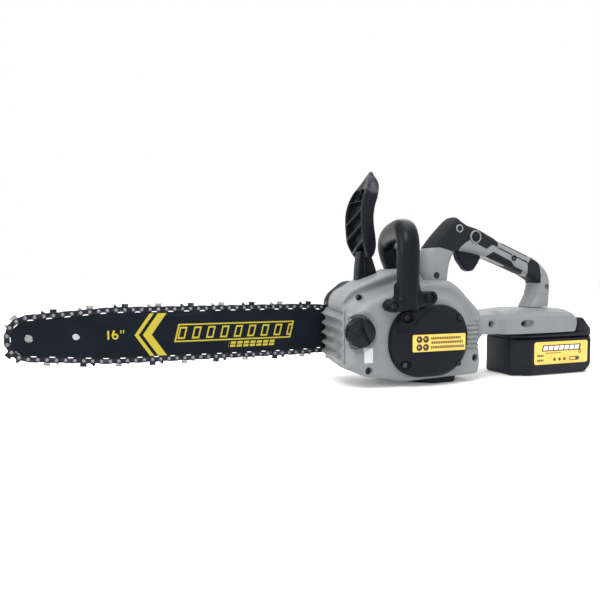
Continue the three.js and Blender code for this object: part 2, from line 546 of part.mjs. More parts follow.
// A front profile [y, z] carried along X, as a solid.
function alongBody(corners, x0, x1) {
  const made = stack(corners, [[0, 0], [x1 - x0, 0]], 4);
  return solid(made.rotateX(Math.PI / 2).rotateZ(Math.PI / 2).translate(x0, 0, 0));
}
const paddle = across(paddleSide, [[-8, 0], [45, 0]]).intersect(alongBody(paddleFront, -100, -40));
const ribPockets = union(
  ...[[176, 186], [191, 201], [206, 216], [221, 240]].map(([z0, z1]) =>
    plate([[-95, z0 - 5], [-74, z0 + 2], [-74, z1], [-95, z1 - 4]], -1, 37),
  ),
);
const guardArm = plate(
  [[-74, 110, 5], [-58, 110, 5], [-51, 136, 20], [-66, 170, 4], [-79, 172, 2], [-82, 132, 10]],
  9, 23,
);
const guardHub = rod(GUARD_PIVOT, 8, 9, 23, 20);
add(
  "hand_guard",
  paddle.subtract(ribPockets).add(guardArm).add(guardHub).subtract(rod(GUARD_PIVOT, 2.35, 0, 40, 16)),
  BLACK_SHELL,
);
add("guard_pin", rod(GUARD_PIVOT, 2.05, 1.2, 28.2, 12), STEEL);

// ---------------------------------------------------------------- rear handle
const HANDLE = [
  [216.5, 94.5, 4], [217.5, 134, 20], [205, 154, 20], [184, 167.5, 20], [126, 188.5, 20], [104, 198, 20],
  [86, 206, 20], [65, 211.5, 10], [52, 221, 8], [28, 197, 30], [6, 170, 24], [-2, 126, 2],
  [41, 126, 2], [44.5, 150, 20], [52, 169, 8], [60, 174.5, 6], [84, 171.5, 16], [125, 160.5, 30],
  [176, 141.5, 16], [197, 131.5, 8], [191, 112, 16], [181, 94.5, 4],
];
const handleOuter = across(HANDLE, [
  [-HANDLE_HALF, 8], [-14.8, 3], [-9, 0], [9, 0], [14.8, 3], [HANDLE_HALF, 8],
]);
const handleInner = across(HANDLE, [[-14.6, 8.6], [-8, WALL], [8, WALL], [14.6, 8.6]], 1);
const triggerMouth = box(57.5, 102, -7, 7, 150, 178.5);
const lockHole = rod(LOCK_BUTTON, 7, -30, 30, 20);
const pivotBosses = tube(TRIGGER_PIVOT, 2.3, 4.6, -14, -6.6, 12).add(tube(TRIGGER_PIVOT, 2.3, 4.6, 6.6, 14, 12));
const handleSkin = handleOuter.subtract(handleInner).add(pivotBosses).subtract(triggerMouth).subtract(lockHole);
add("rear_handle_left", handleSkin.intersect(LEFT_OF), GREY_SHELL);
add("rear_handle_right", handleSkin.intersect(RIGHT_OF), GREY_SHELL);

// Soft grip: a skin round the handle where the hand goes, split like the handle.
const SKIN = 1.6;
const gripOuter = across(HANDLE, [
  [-HANDLE_HALF - SKIN, 7.4], [-16.2, 1.8], [-9.6, -SKIN], [9.6, -SKIN], [16.2, 1.8], [HANDLE_HALF + SKIN, 7.4],
]);
const clearance = across(HANDLE, [
  [-HANDLE_HALF - GAP, 7.8], [-15.1, 2.7], [-9.1, -GAP], [9.1, -GAP], [15.1, 2.7], [HANDLE_HALF + GAP, 7.8],
]);
const gripZone = plate(
  [[-20, 176, 0], [49, 168, 0], [62, 182, 4], [78, 183, 4], [104, 173, 0], [187, 120, 0], [202, 128, 0], [200, 176, 0], [60, 240, 0], [20, 230, 0]],
  -30, 30,
);
const gripSkin = gripOuter
  .subtract(clearance)
  .intersect(gripZone)
  .subtract(rod(LOCK_BUTTON, 9.2, -30, 30, 20));
add("grip_left", gripSkin.intersect(LEFT_OF), GRIP_RUBBER);
add("grip_right", gripSkin.intersect(RIGHT_OF), GRIP_RUBBER);

const triggerSide = [
  [60, 171, 3], [63, 160, 8], [76, 146.5, 4], [87, 146, 4], [97, 158, 4], [99.5, 165, 1], [98.5, 171.5, 1], [69.5, 185, 3], [58.8, 185, 3], [58.8, 176, 1],
];
add(
  "trigger",
  across(triggerSide, [[-6, 1], [-5, 0], [5, 0], [6, 1]], 3).subtract(rod(TRIGGER_PIVOT, 2.3, -10, 10, 12)),
  BLACK_SHELL,
);
add("trigger_pin", rod(TRIGGER_PIVOT, 2, -9.4, 9.4, 12), STEEL);
add("trigger_switch", box(102.6, 128, -6, 6, 163, 177).intersect(across(HANDLE, [[-10, 3.6], [10, 3.6]])), BLACK_SHELL);
add("lock_off_button", rod(LOCK_BUTTON, 6.6, -20.5, 18.5, 20), BLACK_SHELL);

// ---------------------------------------------------------------- battery dock and battery
const DOCK_PLAN = [
  [79.5, -29, 4], [110, -30, 8], [118, -39, 10], [160, -42, 30], [246, -38, 8], [246, 38, 8],
  [160, 42, 30], [118, 39, 10], [110, 30, 8], [79.5, 29, 4],
];
const dockOuter = upwards(DOCK_PLAN, [[59.6, 0.6], [61, 0], [80, 0], [84.5, 3], [89, 11], [94.2, 24]]);
const railPocket = box(143, 260, -33.4, 33.4, 50, 78.6);
const railLips = box(150, 244, -33.6, -28, 59.7, 62.8).add(box(150, 244, 28, 33.6, 59.7, 62.8));
const boardBay = box(84, 150, -24, 24, 63, 78);
add("battery_dock", dockOuter.subtract(railPocket).add(railLips).subtract(boardBay), GREY_SHELL);
const blades = box(149, 174, -9, -7.6, 67, 75).add(box(149, 174, 7.6, 9, 67, 75));
add("terminal_block", box(144, 149.4, -16, 16, 65, 78.2).add(blades), BLACK_SHELL);
add("controller_board", box(87, 135, -21, 21, 66, 68).add(box(92, 126, -16, 16, 67.5, 76)), BOARD_GREEN);

const CASE_FRONT = 136;
const CASE_SIDE = [
  [CASE_FRONT, 0, 5], [262, 0, 4], [277, 13, 5], [277, 47, 5], [265, BATTERY_TOP, 3], [CASE_FRONT, BATTERY_TOP, 3],
];
const CASE_PLAN = [
  [CASE_FRONT, -25, 4], [161, -BATTERY_HALF, 4], [270, -BATTERY_HALF, 5], [277, -32, 5],
  [277, 32, 5], [270, BATTERY_HALF, 5], [161, BATTERY_HALF, 4], [CASE_FRONT, 25, 4],
];
const caseOuter = across(CASE_SIDE, [[-BATTERY_HALF, 2.5], [-36, 0], [36, 0], [BATTERY_HALF, 2.5]]).intersect(
  upwards(CASE_PLAN, [[-1, 0], [80, 0]]),
);
const caseInner = across(CASE_SIDE, [[-35.8, WALL], [35.8, WALL]])
  .intersect(upwards(CASE_PLAN, [[-1, WALL], [80, WALL]]))
  .add(box(152, 262, -34, 34, 40, 62));
const LID_JOINT = 52;
add("battery_case", caseOuter.subtract(caseInner).subtract(box(100, 300, -50, 50, LID_JOINT, 80)), BLACK_SHELL);
const lidRim = caseOuter.intersect(box(100, 300, -50, 50, LID_JOINT + GAP, 80)).subtract(box(152, 262, -33, 33, 50, 56.4));
const rail = box(162, 250, -32.6, 32.6, 63.2, 77.8).add(box(162, 250, -27.4, 27.4, 58.5, 64));
const latchEnd = across(
  [[248.6, 58.5, 0], [272, 58.5, 0], [277, 60, 3], [270, 77, 4], [252, 79.4, 2], [248.6, 79.4, 0]],
  [[-26, 2], [-24, 0], [24, 0], [26, 2]],
);
const latchWell = box(254, 290, -12.4, 12.4, 63.7, 90);
const railMouths = box(158, 182, -12, -5, 60, 78).add(box(158, 182, 5, 12, 60, 78));
const railHollow = box(186, 246, -22, 22, 54, 74);
add("battery_lid", lidRim.add(rail).add(latchEnd).subtract(latchWell).subtract(railMouths).subtract(railHollow), BLACK_SHELL);
add("battery_latch", across([[254.4, 66.6, 1], [270, 66.6, 1], [272.6, 68, 1], [268.6, 77.5, 3], [254.4, 79, 1]], [[-12, 0.6], [-11.4, 0], [11.4, 0], [12, 0.6]]), BLACK_SHELL);
const cells = [];
for (let i = 0; i < 5; i++)
  for (const z of [13.4, 31.6]) cells.push(rod({ x: 171 + i * 18.3, z: z }, 9.25, -32.5, 32.5, 16));
add("cell_pack", union(...cells), CELL_BLUE);

export default saw;
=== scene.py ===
"""A cordless chainsaw with a 16 inch bar, seen from its left. Lengths in the shape functions are in
millimetres, in the saw's own frame: +X to the rear, +Y to the bar side, +Z up."""
import json

import bmesh
import bpy
import numpy as np
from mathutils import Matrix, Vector


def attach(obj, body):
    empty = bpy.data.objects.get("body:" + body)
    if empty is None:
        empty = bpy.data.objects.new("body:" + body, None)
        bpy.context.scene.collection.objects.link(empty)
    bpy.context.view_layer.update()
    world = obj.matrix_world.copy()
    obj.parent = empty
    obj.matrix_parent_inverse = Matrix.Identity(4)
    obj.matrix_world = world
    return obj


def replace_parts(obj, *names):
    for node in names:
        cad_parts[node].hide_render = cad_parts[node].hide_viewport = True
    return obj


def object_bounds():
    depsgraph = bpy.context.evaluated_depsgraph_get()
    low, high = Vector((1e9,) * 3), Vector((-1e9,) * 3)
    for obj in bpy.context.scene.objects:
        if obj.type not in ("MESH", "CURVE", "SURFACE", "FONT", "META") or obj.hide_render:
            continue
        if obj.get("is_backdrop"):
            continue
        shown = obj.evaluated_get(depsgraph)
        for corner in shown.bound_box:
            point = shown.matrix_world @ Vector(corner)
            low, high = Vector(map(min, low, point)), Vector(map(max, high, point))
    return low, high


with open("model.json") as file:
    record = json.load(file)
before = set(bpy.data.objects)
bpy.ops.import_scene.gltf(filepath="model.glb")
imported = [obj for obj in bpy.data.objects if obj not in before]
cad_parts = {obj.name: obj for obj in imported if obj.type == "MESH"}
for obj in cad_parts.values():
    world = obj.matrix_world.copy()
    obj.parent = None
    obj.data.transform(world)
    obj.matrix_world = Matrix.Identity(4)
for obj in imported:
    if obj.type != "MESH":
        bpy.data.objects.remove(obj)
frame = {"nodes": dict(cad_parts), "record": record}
cad_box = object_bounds()

# ------------------------------------------------------------------ camera, floor and studio light
# The saw stands in a white studio, seen from a little in front of its left side and just above it.
MM = 0.001
camera_data = bpy.data.cameras.new("camera")
camera_data.lens = 32.4
camera_data.sensor_width = 36
camera_data.clip_start = 0.01
camera = bpy.data.objects.new("camera", camera_data)
bpy.context.collection.objects.link(camera)
camera.location = (-0.3967, -0.6305, 0.1397)
turn, dip = np.radians(20.0), np.radians(2.55)
aim = Vector((np.sin(turn) * np.cos(dip), np.cos(turn) * np.cos(dip), -np.sin(dip)))
camera.rotation_euler = aim.to_track_quat("-Z", "Y").to_euler()
bpy.context.scene.camera = camera
bpy.context.scene.view_settings.view_transform = "Standard"

HALF_FLOOR, FLOOR_Z = 60, -0.0004
SQUARE = ((-1, -1), (1, -1), (1, 1), (-1, 1))
floor_corners = [(x * HALF_FLOOR, y * HALF_FLOOR, FLOOR_Z) for x, y in SQUARE]
floor_mesh = bpy.data.meshes.new("floor")
floor_mesh.from_pydata(floor_corners, [], [(0, 1, 2, 3)])
floor = bpy.data.objects.new("floor", floor_mesh)
bpy.context.collection.objects.link(floor)
floor_paint = bpy.data.materials.new("floor")
floor_paint.use_nodes = True
for socket, value in (
    ("Base Color", (0.9, 0.9, 0.9, 1)), ("Roughness", 1.0), ("Specular IOR Level", 0.0),
    ("Emission Color", (1, 1, 1, 1)), ("Emission Strength", 0.10),
):
    floor_paint.node_tree.nodes["Principled BSDF"].inputs[socket].default_value = value
floor_mesh.materials.append(floor_paint)
floor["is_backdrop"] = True

world = bpy.data.worlds.new("studio")
world.use_nodes = True
world.node_tree.nodes["Background"].inputs["Color"].default_value = (1, 1, 1, 1)
world.node_tree.nodes["Background"].inputs["Strength"].default_value = 1.0
bpy.context.scene.world = world

LAMP_AIM = Vector((-0.05, 0, 0.08))
for name, place, size, power in (
    ("key", (-0.75, -0.7, 1.3), 0.7, 16),
    ("top", (0.2, 0.1, 1.6), 1.0, 10),
    ("back", (0.8, 1.0, 1.1), 0.9, 7),
    ("front", (-1.5, 0.2, 0.6), 0.6, 7),
):
    lamp_data = bpy.data.lights.new(name, "AREA")
    lamp_data.size = size
    lamp_data.energy = power
    lamp = bpy.data.objects.new(name, lamp_data)
    bpy.context.collection.objects.link(lamp)
    lamp.location = place
    lamp.rotation_euler = (LAMP_AIM - lamp.location).to_track_quat("-Z", "Y").to_euler()


# ------------------------------------------------------------------ left motor housing
# The left half of the grey nylon housing: a side wall that bulges out round the oil tank and the
# motor, with a valley under its top ridge, sunk screw holes, and cooling slots at the rear.
class Wire:
    """One output of a material node. Operators on it add Math nodes, and add() adds any other node."""

    def __init__(self, tree, socket):
        self.tree, self.socket = tree, socket

    def add(self, kind, inputs=(), settings=(), out=0):
        """A node of that kind, its settings made first, then its inputs linked or set by name or number."""
        node = self.tree.nodes.new(kind)
        for key, value in dict(settings).items():
            if key == "stops":
                ramp = node.color_ramp.elements
                while len(ramp) < len(value):
                    ramp.new(0.5)
                for stop, (place, colour) in zip(ramp, value):
                    stop.position, stop.color = place, (*colour, 1)
            else:
                setattr(node, key, value)
        for key, value in dict(inputs).items():
            if isinstance(value, Wire):
                self.tree.links.new(value.socket, node.inputs[key])
            elif value is not None:
                node.inputs[key].default_value = value
        return Wire(self.tree, node.outputs[out])

    def math(self, operation, *others):
        return self.add("ShaderNodeMath", enumerate((self, *others)), {"operation": operation})

    def __add__(self, other):
        return self.math("ADD", other)

    def __sub__(self, other):
        return self.math("SUBTRACT", other)

    def __rsub__(self, other):
        return self * -1 + other

    def __mul__(self, other):
        return self.math("MULTIPLY", other)

    def __abs__(self):
        return self.math("ABSOLUTE")

    __radd__, __rmul__ = __add__, __mul__

    def rise(self, low, high):
        """0 below low and 1 above high, with a smooth ramp between; high may be the lower one."""
        sockets = {0: self, 1: low, 2: high, 3: 0.0, 4: 1.0}
        return self.add("ShaderNodeMapRange", sockets, {"interpolation_type": "SMOOTHSTEP"})

    def noise(self, scale, detail=2.0, stretch=(1, 1, 1), roughness=0.5):
        """Fractal noise read at this vector, times a scale per metre and a stretch along each axis."""
        place = self.add("ShaderNodeMapping", {"Vector": self, "Scale": stretch})
        sockets = {"Vector": place, "Scale": scale, "Detail": detail, "Roughness": roughness}
        return place.add("ShaderNodeTexNoise", sockets)

    def blend(self, low, high):
        """The colour low where this is 0 and high where it is 1."""
        low, high = [c if isinstance(c, Wire) else (*c, 1) for c in (low, high)]
        return self.add("ShaderNodeMix", {0: self, 6: low, 7: high}, {"data_type": "RGBA"}, out=2)


def finish(name, colour, roughness, metal=0.0, relief=None, depth=0.1, gloss=0.5):
    """A material whose colour, roughness and relief are functions of the Object coordinates.

    Each may be a plain value or a function of place, the position's Wire in metres, and axes, its
    X, Y and Z in millimetres. relief is a height, which depth scales in millimetres, and gloss is
    the strength of the mirror reflection.
    """
    material = bpy.data.materials.new(name)
    material.use_nodes = True
    tree = material.node_tree
    skin = tree.nodes["Principled BSDF"]
    place = Wire(tree, tree.nodes.new("ShaderNodeTexCoord").outputs["Object"])
    split = place.add("ShaderNodeSeparateXYZ", {"Vector": place})
    axes = [Wire(tree, socket) * 1000 for socket in split.socket.node.outputs]
    for key, value in {"Base Color": colour, "Roughness": roughness, "Metallic": metal}.items():
        value = value(place, axes) if callable(value) else value
        if isinstance(value, Wire):
            tree.links.new(value.socket, skin.inputs[key])
        else:
            skin.inputs[key].default_value = (*value, 1) if key == "Base Color" else value
    skin.inputs["Specular IOR Level"].default_value = gloss
    if relief:
        sockets = {"Height": relief(place, axes), "Distance": depth * MM, "Strength": 1.0}
        tree.links.new(place.add("ShaderNodeBump", sockets).socket, skin.inputs["Normal"])
    return material


def outline(corners, inset=0.0, steps=8):
    """Points round a polygon of corners (a, b, radius), taken anticlockwise.

    Each corner is an arc that touches both its sides. inset moves every side inwards and keeps the
    arcs' centres, so a convex arc shrinks and a hollow one grows.
    """
    corners = [(*c, 0)[:3] for c in corners]
    points = []
    for i, (a, b, radius) in enumerate(corners):
        here = np.array([a, b], float)
        into = here - np.array(corners[i - 1][:2])
        out = np.array(corners[(i + 1) % len(corners)][:2]) - here
        into, out = into / np.hypot(*into), out / np.hypot(*out)
        bend = np.arctan2(into[0] * out[1] - into[1] * out[0], into @ out)
        corner = here + inset * np.array([-into[1] - out[1], into[0] + out[0]]) / (1 + into @ out)
        if not radius:
            points.append(corner[None])
            continue
        r = max(radius - inset, 0.3) if bend > 0 else radius + inset
        start = corner - into * r * np.tan(abs(bend) / 2)
        side = np.sign(bend)
        centre = start + np.array([-into[1], into[0]]) * side * r
        angle = bend * np.linspace(0, 1, steps + 1)
        arm = start - centre
        x = arm[0] * np.cos(angle) - arm[1] * np.sin(angle)
        y = arm[0] * np.sin(angle) + arm[1] * np.cos(angle)
        points.append(centre + np.stack([x, y], 1))
    return np.concatenate(points)


def travelled(path):
    """The length along a path up to each of its points."""
    return np.concatenate([[0], np.cumsum(np.linalg.norm(np.diff(path, axis=0), axis=1))])


def along(path, t):
    """Points at the fractions t of an open path's length."""
    travel = travelled(path)
    return np.stack([np.interp(t * travel[-1], travel, column) for column in path.T], -1)


def fill(loop, corners, nu, nv, crowd=0.75):
    """A grid that fills a closed outline.

    The outline is cut at its points nearest to four corners, and P(u, v) is the Coons patch of the
    four sides: the two linear blends of facing sides less the bilinear blend of the corners. The
    grid lines crowd towards the rim, as t - crowd sin(2 pi t) / (2 pi).
    """
    cuts = [int(np.argmin(np.hypot(*(loop - np.array(c)).T))) for c in corners]
    sides = []
    for i in range(4):
        start, end = cuts[i], cuts[(i + 1) % 4]
        count = (end - start) % len(loop)
        sides.append(loop[(start + np.arange(count + 1)) % len(loop)])
    even = [np.linspace(0, 1, count) for count in (nu, nv)]
    tu, tv = [t - crowd * np.sin(2 * np.pi * t) / (2 * np.pi) for t in even]
    low, top = along(sides[0], tu), along(sides[2][::-1], tu)
    right, left = along(sides[1], tv), along(sides[3][::-1], tv)
    u, v = tu[:, None, None], tv[None, :, None]
    lines = (1 - v) * low[:, None] + v * top[:, None] + (1 - u) * left[None] + u * right[None]
    ends = (1 - u) * (1 - v) * low[0] + u * (1 - v) * low[-1] + (1 - u) * v * top[0] + u * v * top[-1]
    return lines - ends


def depth_inside(points, loop):
    """Signed distance from each point to a closed outline, positive inside it."""
    shape = points.shape[:-1]
    p = points.reshape(-1, 1, 2)
    a, b = loop[None], np.roll(loop, -1, axis=0)[None]
    side = b - a
    share = np.clip(((p - a) * side).sum(-1) / np.maximum((side**2).sum(-1), 1e-9), 0, 1)
    distance = np.linalg.norm(p - a - share[..., None] * side, axis=-1).min(1)
    crosses = (a[..., 1] > p[..., 1]) != (b[..., 1] > p[..., 1])
    height = np.where(side[..., 1] == 0, 1e-9, side[..., 1])
    hit = crosses & (p[..., 0] < a[..., 0] + side[..., 0] * (p[..., 1] - a[..., 1]) / height)
    inside = hit.sum(1) % 2 == 1
    return np.where(inside, distance, -distance).reshape(shape)


def from_rim(points, loop):
    """The distance in from a closed outline, and 0 outside it."""
    return np.maximum(depth_inside(points, loop), 0)


def at_depth(plan, y):
    """The points (x, y, z) of a plan of (x, z) points, at those Y values."""
    return np.stack([plan[..., 0], y, plan[..., 1]], -1)


def ease(x, low, high):
    """0 below low, 1 above high, and the cubic 3t^2 - 2t^3 between."""
    t = np.clip((x - low) / (high - low), 0, 1)
    return t * t * (3 - 2 * t)


def span(x, start, full, fade, end):
    """0 up to start, 1 between full and fade, and 0 from end on."""
    return ease(x, start, full) * (1 - ease(x, fade, end))


def dent(distance, depth, inner, outer):
    """A sunk round floor: depth within the inner distance, and nothing beyond the outer one."""
    return depth * (1 - ease(distance, inner, outer))


def bell(x, width):
    """The bell curve exp(-(x / width)^2)."""
    return np.exp(-((x / width) ** 2))


def waves(x, start, pitch):
    """Cosine waves between 0 and 1, which are 0 at start."""
    return 0.5 - 0.5 * np.cos((x - start) * 2 * np.pi / pitch)


def roll(inside, radius, drop=None):
    """How far a rounded edge falls below its face: a quarter ellipse of that radius, drop deep."""
    t = np.clip(1 - inside / radius, 0, 1)
    return (radius if drop is None else drop) * (1 - np.sqrt(np.maximum(1 - t * t, 0)))


def higher(a, b, soft):
    """The greater of two heights, with a fillet of about that size where they cross."""
    h = np.clip(0.5 + 0.5 * (a - b) / soft, 0, 1)
    return b + (a - b) * h + soft * h * (1 - h)


WELD = 2e-6


def make(name, points, faces, material, body, stands_for=(), sharp=40):
    """A mesh piece from points in millimetres, with its normals turned outwards, on one body.

    stands_for lists the frame's nodes that the piece replaces, and edges over sharp degrees stay
    hard. Points closer than WELD are merged, which closes seams and poles.
    """
    mesh = bpy.data.meshes.new(name)
    metres = np.asarray(points, float).reshape(-1, 3) * MM
    mesh.from_pydata(metres.tolist(), [], [list(map(int, f)) for f in faces])
    shape = bmesh.new()
    shape.from_mesh(mesh)
    bmesh.ops.remove_doubles(shape, verts=shape.verts, dist=WELD)
    bmesh.ops.recalc_face_normals(shape, faces=shape.faces)
    shape.to_mesh(mesh)
    shape.free()
    mesh.shade_smooth()
    mesh.set_sharp_from_angle(angle=np.radians(sharp))
    mesh.materials.append(material)
    piece = bpy.data.objects.new(name, mesh)
    bpy.context.collection.objects.link(piece)
    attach(piece, body)
    if stands_for:
        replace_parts(piece, *stands_for)
    return piece


def rim_of(nu, nv):
    """The numbers of an nu by nv grid's border points, once round."""
    index = np.arange(nu * nv).reshape(nu, nv)
    return np.concatenate([index[:-1, 0], index[-1, :-1], index[:0:-1, -1], index[0, :0:-1]])


def weave(nu, nv, wrap_u=False, wrap_v=False):
    """The quads of an nu by nv grid, which may close on itself either way."""
    index = np.arange(nu * nv).reshape(nu, nv)
    i = np.arange(nu if wrap_u else nu - 1)
    j = np.arange(nv if wrap_v else nv - 1)
    i, j = np.meshgrid(i, j, indexing="ij")
    ni, nj = (i + 1) % nu, (j + 1) % nv
    return np.stack([index[i, j], index[ni, j], index[ni, nj], index[i, nj]], -1).reshape(-1, 4)


def dished(name, face, back, material, body, stands_for=(), skirt=(), wall=0.0):
    """A face on a grid with a skirt from its rim to the surface back, which is a Y value.

    skirt lists (share of the way to the back, inset) of the rings between. With a wall the back
    is open and the skin gets that thickness; with none the back is closed by a flat face.
    """
    nu, nv = face.shape[:2]
    rim = rim_of(nu, nv)
    edge = face.reshape(-1, 3)[rim]
    plan = edge[:, [0, 2]]
    tangent = np.roll(plan, -1, axis=0) - np.roll(plan, 1, axis=0)
    inward = np.stack([-tangent[:, 1], tangent[:, 0]], 1)
    inward /= np.linalg.norm(tangent, axis=1, keepdims=True).clip(1e-9)
    points, faces = [face.reshape(-1, 3)], [weave(nu, nv)]
    last, count = rim, nu * nv
    for share, inset in (*skirt, (1.0, 0.0)):
        ring = edge.copy()
        ring[:, [0, 2]] += inward * inset
        ring[:, 1] += (back - edge[:, 1]) * share
        new = count + np.arange(len(rim))
        faces.append(np.stack([last, np.roll(last, -1), np.roll(new, -1), new], 1))
        points.append(ring)
        last, count = new, count + len(rim)
    faces = np.concatenate(faces).tolist()
    if not wall:
        faces.append(last.tolist())
    piece = make(name, np.concatenate(points), faces, material, body, stands_for)
    if wall:
        skin = piece.modifiers.new("wall", "SOLIDIFY")
        skin.thickness = wall * MM
        skin.offset = -1
    return piece


def grain_of(place, axes):
    """A height: fine spark-eroded mould grain with a few shallow scuffs."""
    return place.noise(1500, 3.0) * 0.7 + place.noise(90, 2.0, (1, 1, 3)) * 0.5


def worn(base, dark, light, dusty=0.12):
    """A colour function: mottled by a broad noise, speckled by a fine one, dusted where it faces up."""

    def colour(place, axes):
        broad = place.noise(22, 3.0)
        fine = place.noise(900, 2.0)
        facing = place.add("ShaderNodeNewGeometry", out=1)
        up = facing.add("ShaderNodeSeparateXYZ", {"Vector": facing}, out=2)
        dust = up.rise(0.2, 1.0) * place.noise(140, 4.0).rise(0.42, 0.75) * dusty
        speck = fine.rise(0.30, 0.74)
        shade = (broad.rise(0.25, 0.75) * 0.6 + speck * 0.4).blend(dark, base)
        return dust.blend(shade, light)

    return colour


def scuffed(base, spread=0.16):
    """A roughness function: base plus broad polish marks and fine hairline scratches."""

    def roughness(place, axes):
        polish = place.noise(35, 3.0) - 0.5
        lines = place.noise(60, 2.0, (1, 1, 14)).rise(0.60, 0.72)
        return polish * spread + lines * (spread * 0.5) + base

    return roughness


def moulded(name, colour, rough, depth, gloss, spread=0.16):
    """A moulded plastic: a worn colour, scuffed to that roughness, with grain of that depth."""
    return finish(name, colour, scuffed(rough, spread), relief=grain_of, depth=depth, gloss=gloss)


grey_nylon = moulded(
    "grey_nylon", worn((0.216, 0.229, 0.236), (0.186, 0.199, 0.207), (0.36, 0.37, 0.36), 0.08),
    0.45, 0.035, 0.3,
)

SPINE = [
    (-118, 30, 12), (-97, 15.5, 30), (-40, 5.4, 60), (71, 9, 5), (76, 50, 20), (78, 92, 12),
    (45, 125.3, 8), (30, 134, 14), (-3, 134.3, 3), (-11, 149, 3), (-42, 149, 30), (-84, 134, 30),
    (-118, 116, 22),
]
BULGE = [
    (-117.5, 30, 12), (-97, 15.8, 30), (-40, 5.8, 60), (71, 10, 6), (74, 26, 8), (77, 92, 12),
    (43, 124.5, 8), (28, 134, 14), (-28, 129, 40), (-96, 108, 26), (-117, 88, 22),
]
SPINE_HALF, LEFT_FACE = 26, 42
SHELL_SCREWS = [(-94.5, 111.5), (-92, 23), (64.7, 31.6)]
OIL_CAP = (-106, 71.5)
body_loop = outline(SPINE)
bulge_loop = outline(BULGE)


def cooling_slots(plan, front, rear):
    """A row of slots, one every 6 mm up a wall between two X values: 1 in a slot and 0 outside."""
    x, z = plan[..., 0], plan[..., 1]
    window = span(x, front, front + 2, rear, rear + 3) * span(z, 38, 40, 79, 81)
    return window * waves(z, 41, 6.0) ** 2


def left_depth(plan):
    """How far the left wall stands from the parting plane.

    The fillet of two plateaus, the spine's and the bulge's, each with rounded edges, less a valley
    that follows the bulge's upper border, the cap's seat, the screw holes and the cooling slots.
    """
    x, z = plan[..., 0], plan[..., 1]
    rim = from_rim(plan, body_loop)
    border = depth_inside(plan, bulge_loop)
    spine = SPINE_HALF - roll(rim, 11, 9)
    edge = 12 - dent(z, 6, 14, 60)
    bulge = LEFT_FACE - roll(border, edge, edge) + np.minimum(border, 0) * 3
    valley = 8 * bell(border + 9, 6.5) * ease(-x, 15, 50) * ease(z, 70, 100)
    over_motor = np.hypot(x - 4, z - 60) - 61
    shoulder = 5.5 * bell(over_motor, 6) * ease(z, 66, 88) * ease(x, -30, 0)
    depth = higher(spine - valley, bulge, 2.5) - shoulder
    from_cap = np.hypot(x - OIL_CAP[0], z - OIL_CAP[1])
    depth = depth + dent(from_cap, LEFT_FACE - 2.2 - depth, 22.5, 27) - dent(from_cap, 2.4, 20.2, 21.2)
    for screw_x, screw_z in SHELL_SCREWS:
        from_screw = np.hypot(x - screw_x, z - screw_z)
        depth = depth - dent(from_screw, 8, 3.7, 4.9) - dent(from_screw, 0.5, 4.6, 6.2)
    return depth - 3.0 * cooling_slots(plan, 50, 79)


body_corners = [(-70, 17), (74, 22), (40, 128), (-105, 122)]
plan = fill(body_loop, body_corners, 190, 150)
SHELL_WALL, SEAM_GAP = 2.2, 0.15
dished(
    "shell_left", at_depth(plan, -left_depth(plan)), -SEAM_GAP, grey_nylon,
    "powerhead", ["housing_left"],
    skirt=((0.5, 0.0), (0.97, 0.0), (0.99, 0.5)), wall=SHELL_WALL,
)

# ------------------------------------------------------------------ right motor housing
# The right half: flat where the bar bolts on, open at the top where the guard's arm goes in.
SPINE_RIGHT = 31
plan = fill(body_loop, body_corners, 120, 90)
rim = from_rim(plan, body_loop)
depth = SPINE_RIGHT - roll(rim, 7, 6) - 1.8 * cooling_slots(plan, 40, 70)
dished(
    "shell_right", at_depth(plan, depth), SEAM_GAP, grey_nylon,
    "powerhead", ["housing_right"],
    skirt=((0.25, 0.0), (0.4, 0.0), (0.8, 0.0), (0.97, 0.0), (0.99, 0.5)), wall=SHELL_WALL,
)

# ------------------------------------------------------------------ motor cover
# A black nylon cover over the motor, held by four sunk screws. Its face has a raised disc over the
# motor, a long recess for the label, grooves for the fingers at the front and notches at the rear.
def slab(name, corners, levels, material, body, stands_for=(), flat=False, steps=8, sharp=40):
    """A plate with rounded edges: rings of one outline, each moved in by its level's inset.

    levels lists (height, inset). The outline lies in X and Z with its height along Y, or, if flat,
    in X and Y with its height along Z. Both ends are closed by flat faces.
    """
    rings = np.stack([outline(corners, inset, steps) for _, inset in levels])
    height = np.broadcast_to(np.array([level for level, _ in levels])[:, None], rings.shape[:2])
    across, up = (rings[..., 1], height) if flat else (height, rings[..., 1])
    points = np.stack([rings[..., 0], across, up], -1)
    count = rings.shape[1]
    faces = weave(len(levels), count, wrap_v=True).tolist()
    faces += [list(range(count)), list(range(count * (len(levels) - 1), count * len(levels)))]
    return make(name, points, faces, material, body, stands_for, sharp)


def rounded(low, high, radius, steps=4):
    """Levels for a slab from low to high whose two rims are quarter circles of that radius."""
    t = np.linspace(0, np.pi / 2, steps + 1)
    first = [(low + radius * (1 - np.cos(a)), radius * (1 - np.sin(a))) for a in t]
    return first + [(low + high - level, inset) for level, inset in first[::-1]]


def shield(name, front, back, material, body, stands_for=(), sharp=40):
    """A closed piece from two grids of the same size, joined round their rims."""
    nu, nv = front.shape[:2]
    rim, grid = rim_of(nu, nv), weave(nu, nv)
    after = np.roll(rim, -1)
    sides = np.stack([rim, after, after + nu * nv, rim + nu * nv], 1)
    faces = np.concatenate([grid, grid[:, ::-1] + nu * nv, sides]).tolist()
    points = np.concatenate([front.reshape(-1, 3), back.reshape(-1, 3)])
    return make(name, points, faces, material, body, stands_for, sharp)


black_nylon = moulded(
    "black_nylon", worn((0.0085, 0.0105, 0.0160), (0.0055, 0.007, 0.0115), (0.08, 0.08, 0.08), 0.06),
    0.46, 0.03, 0.10,
)

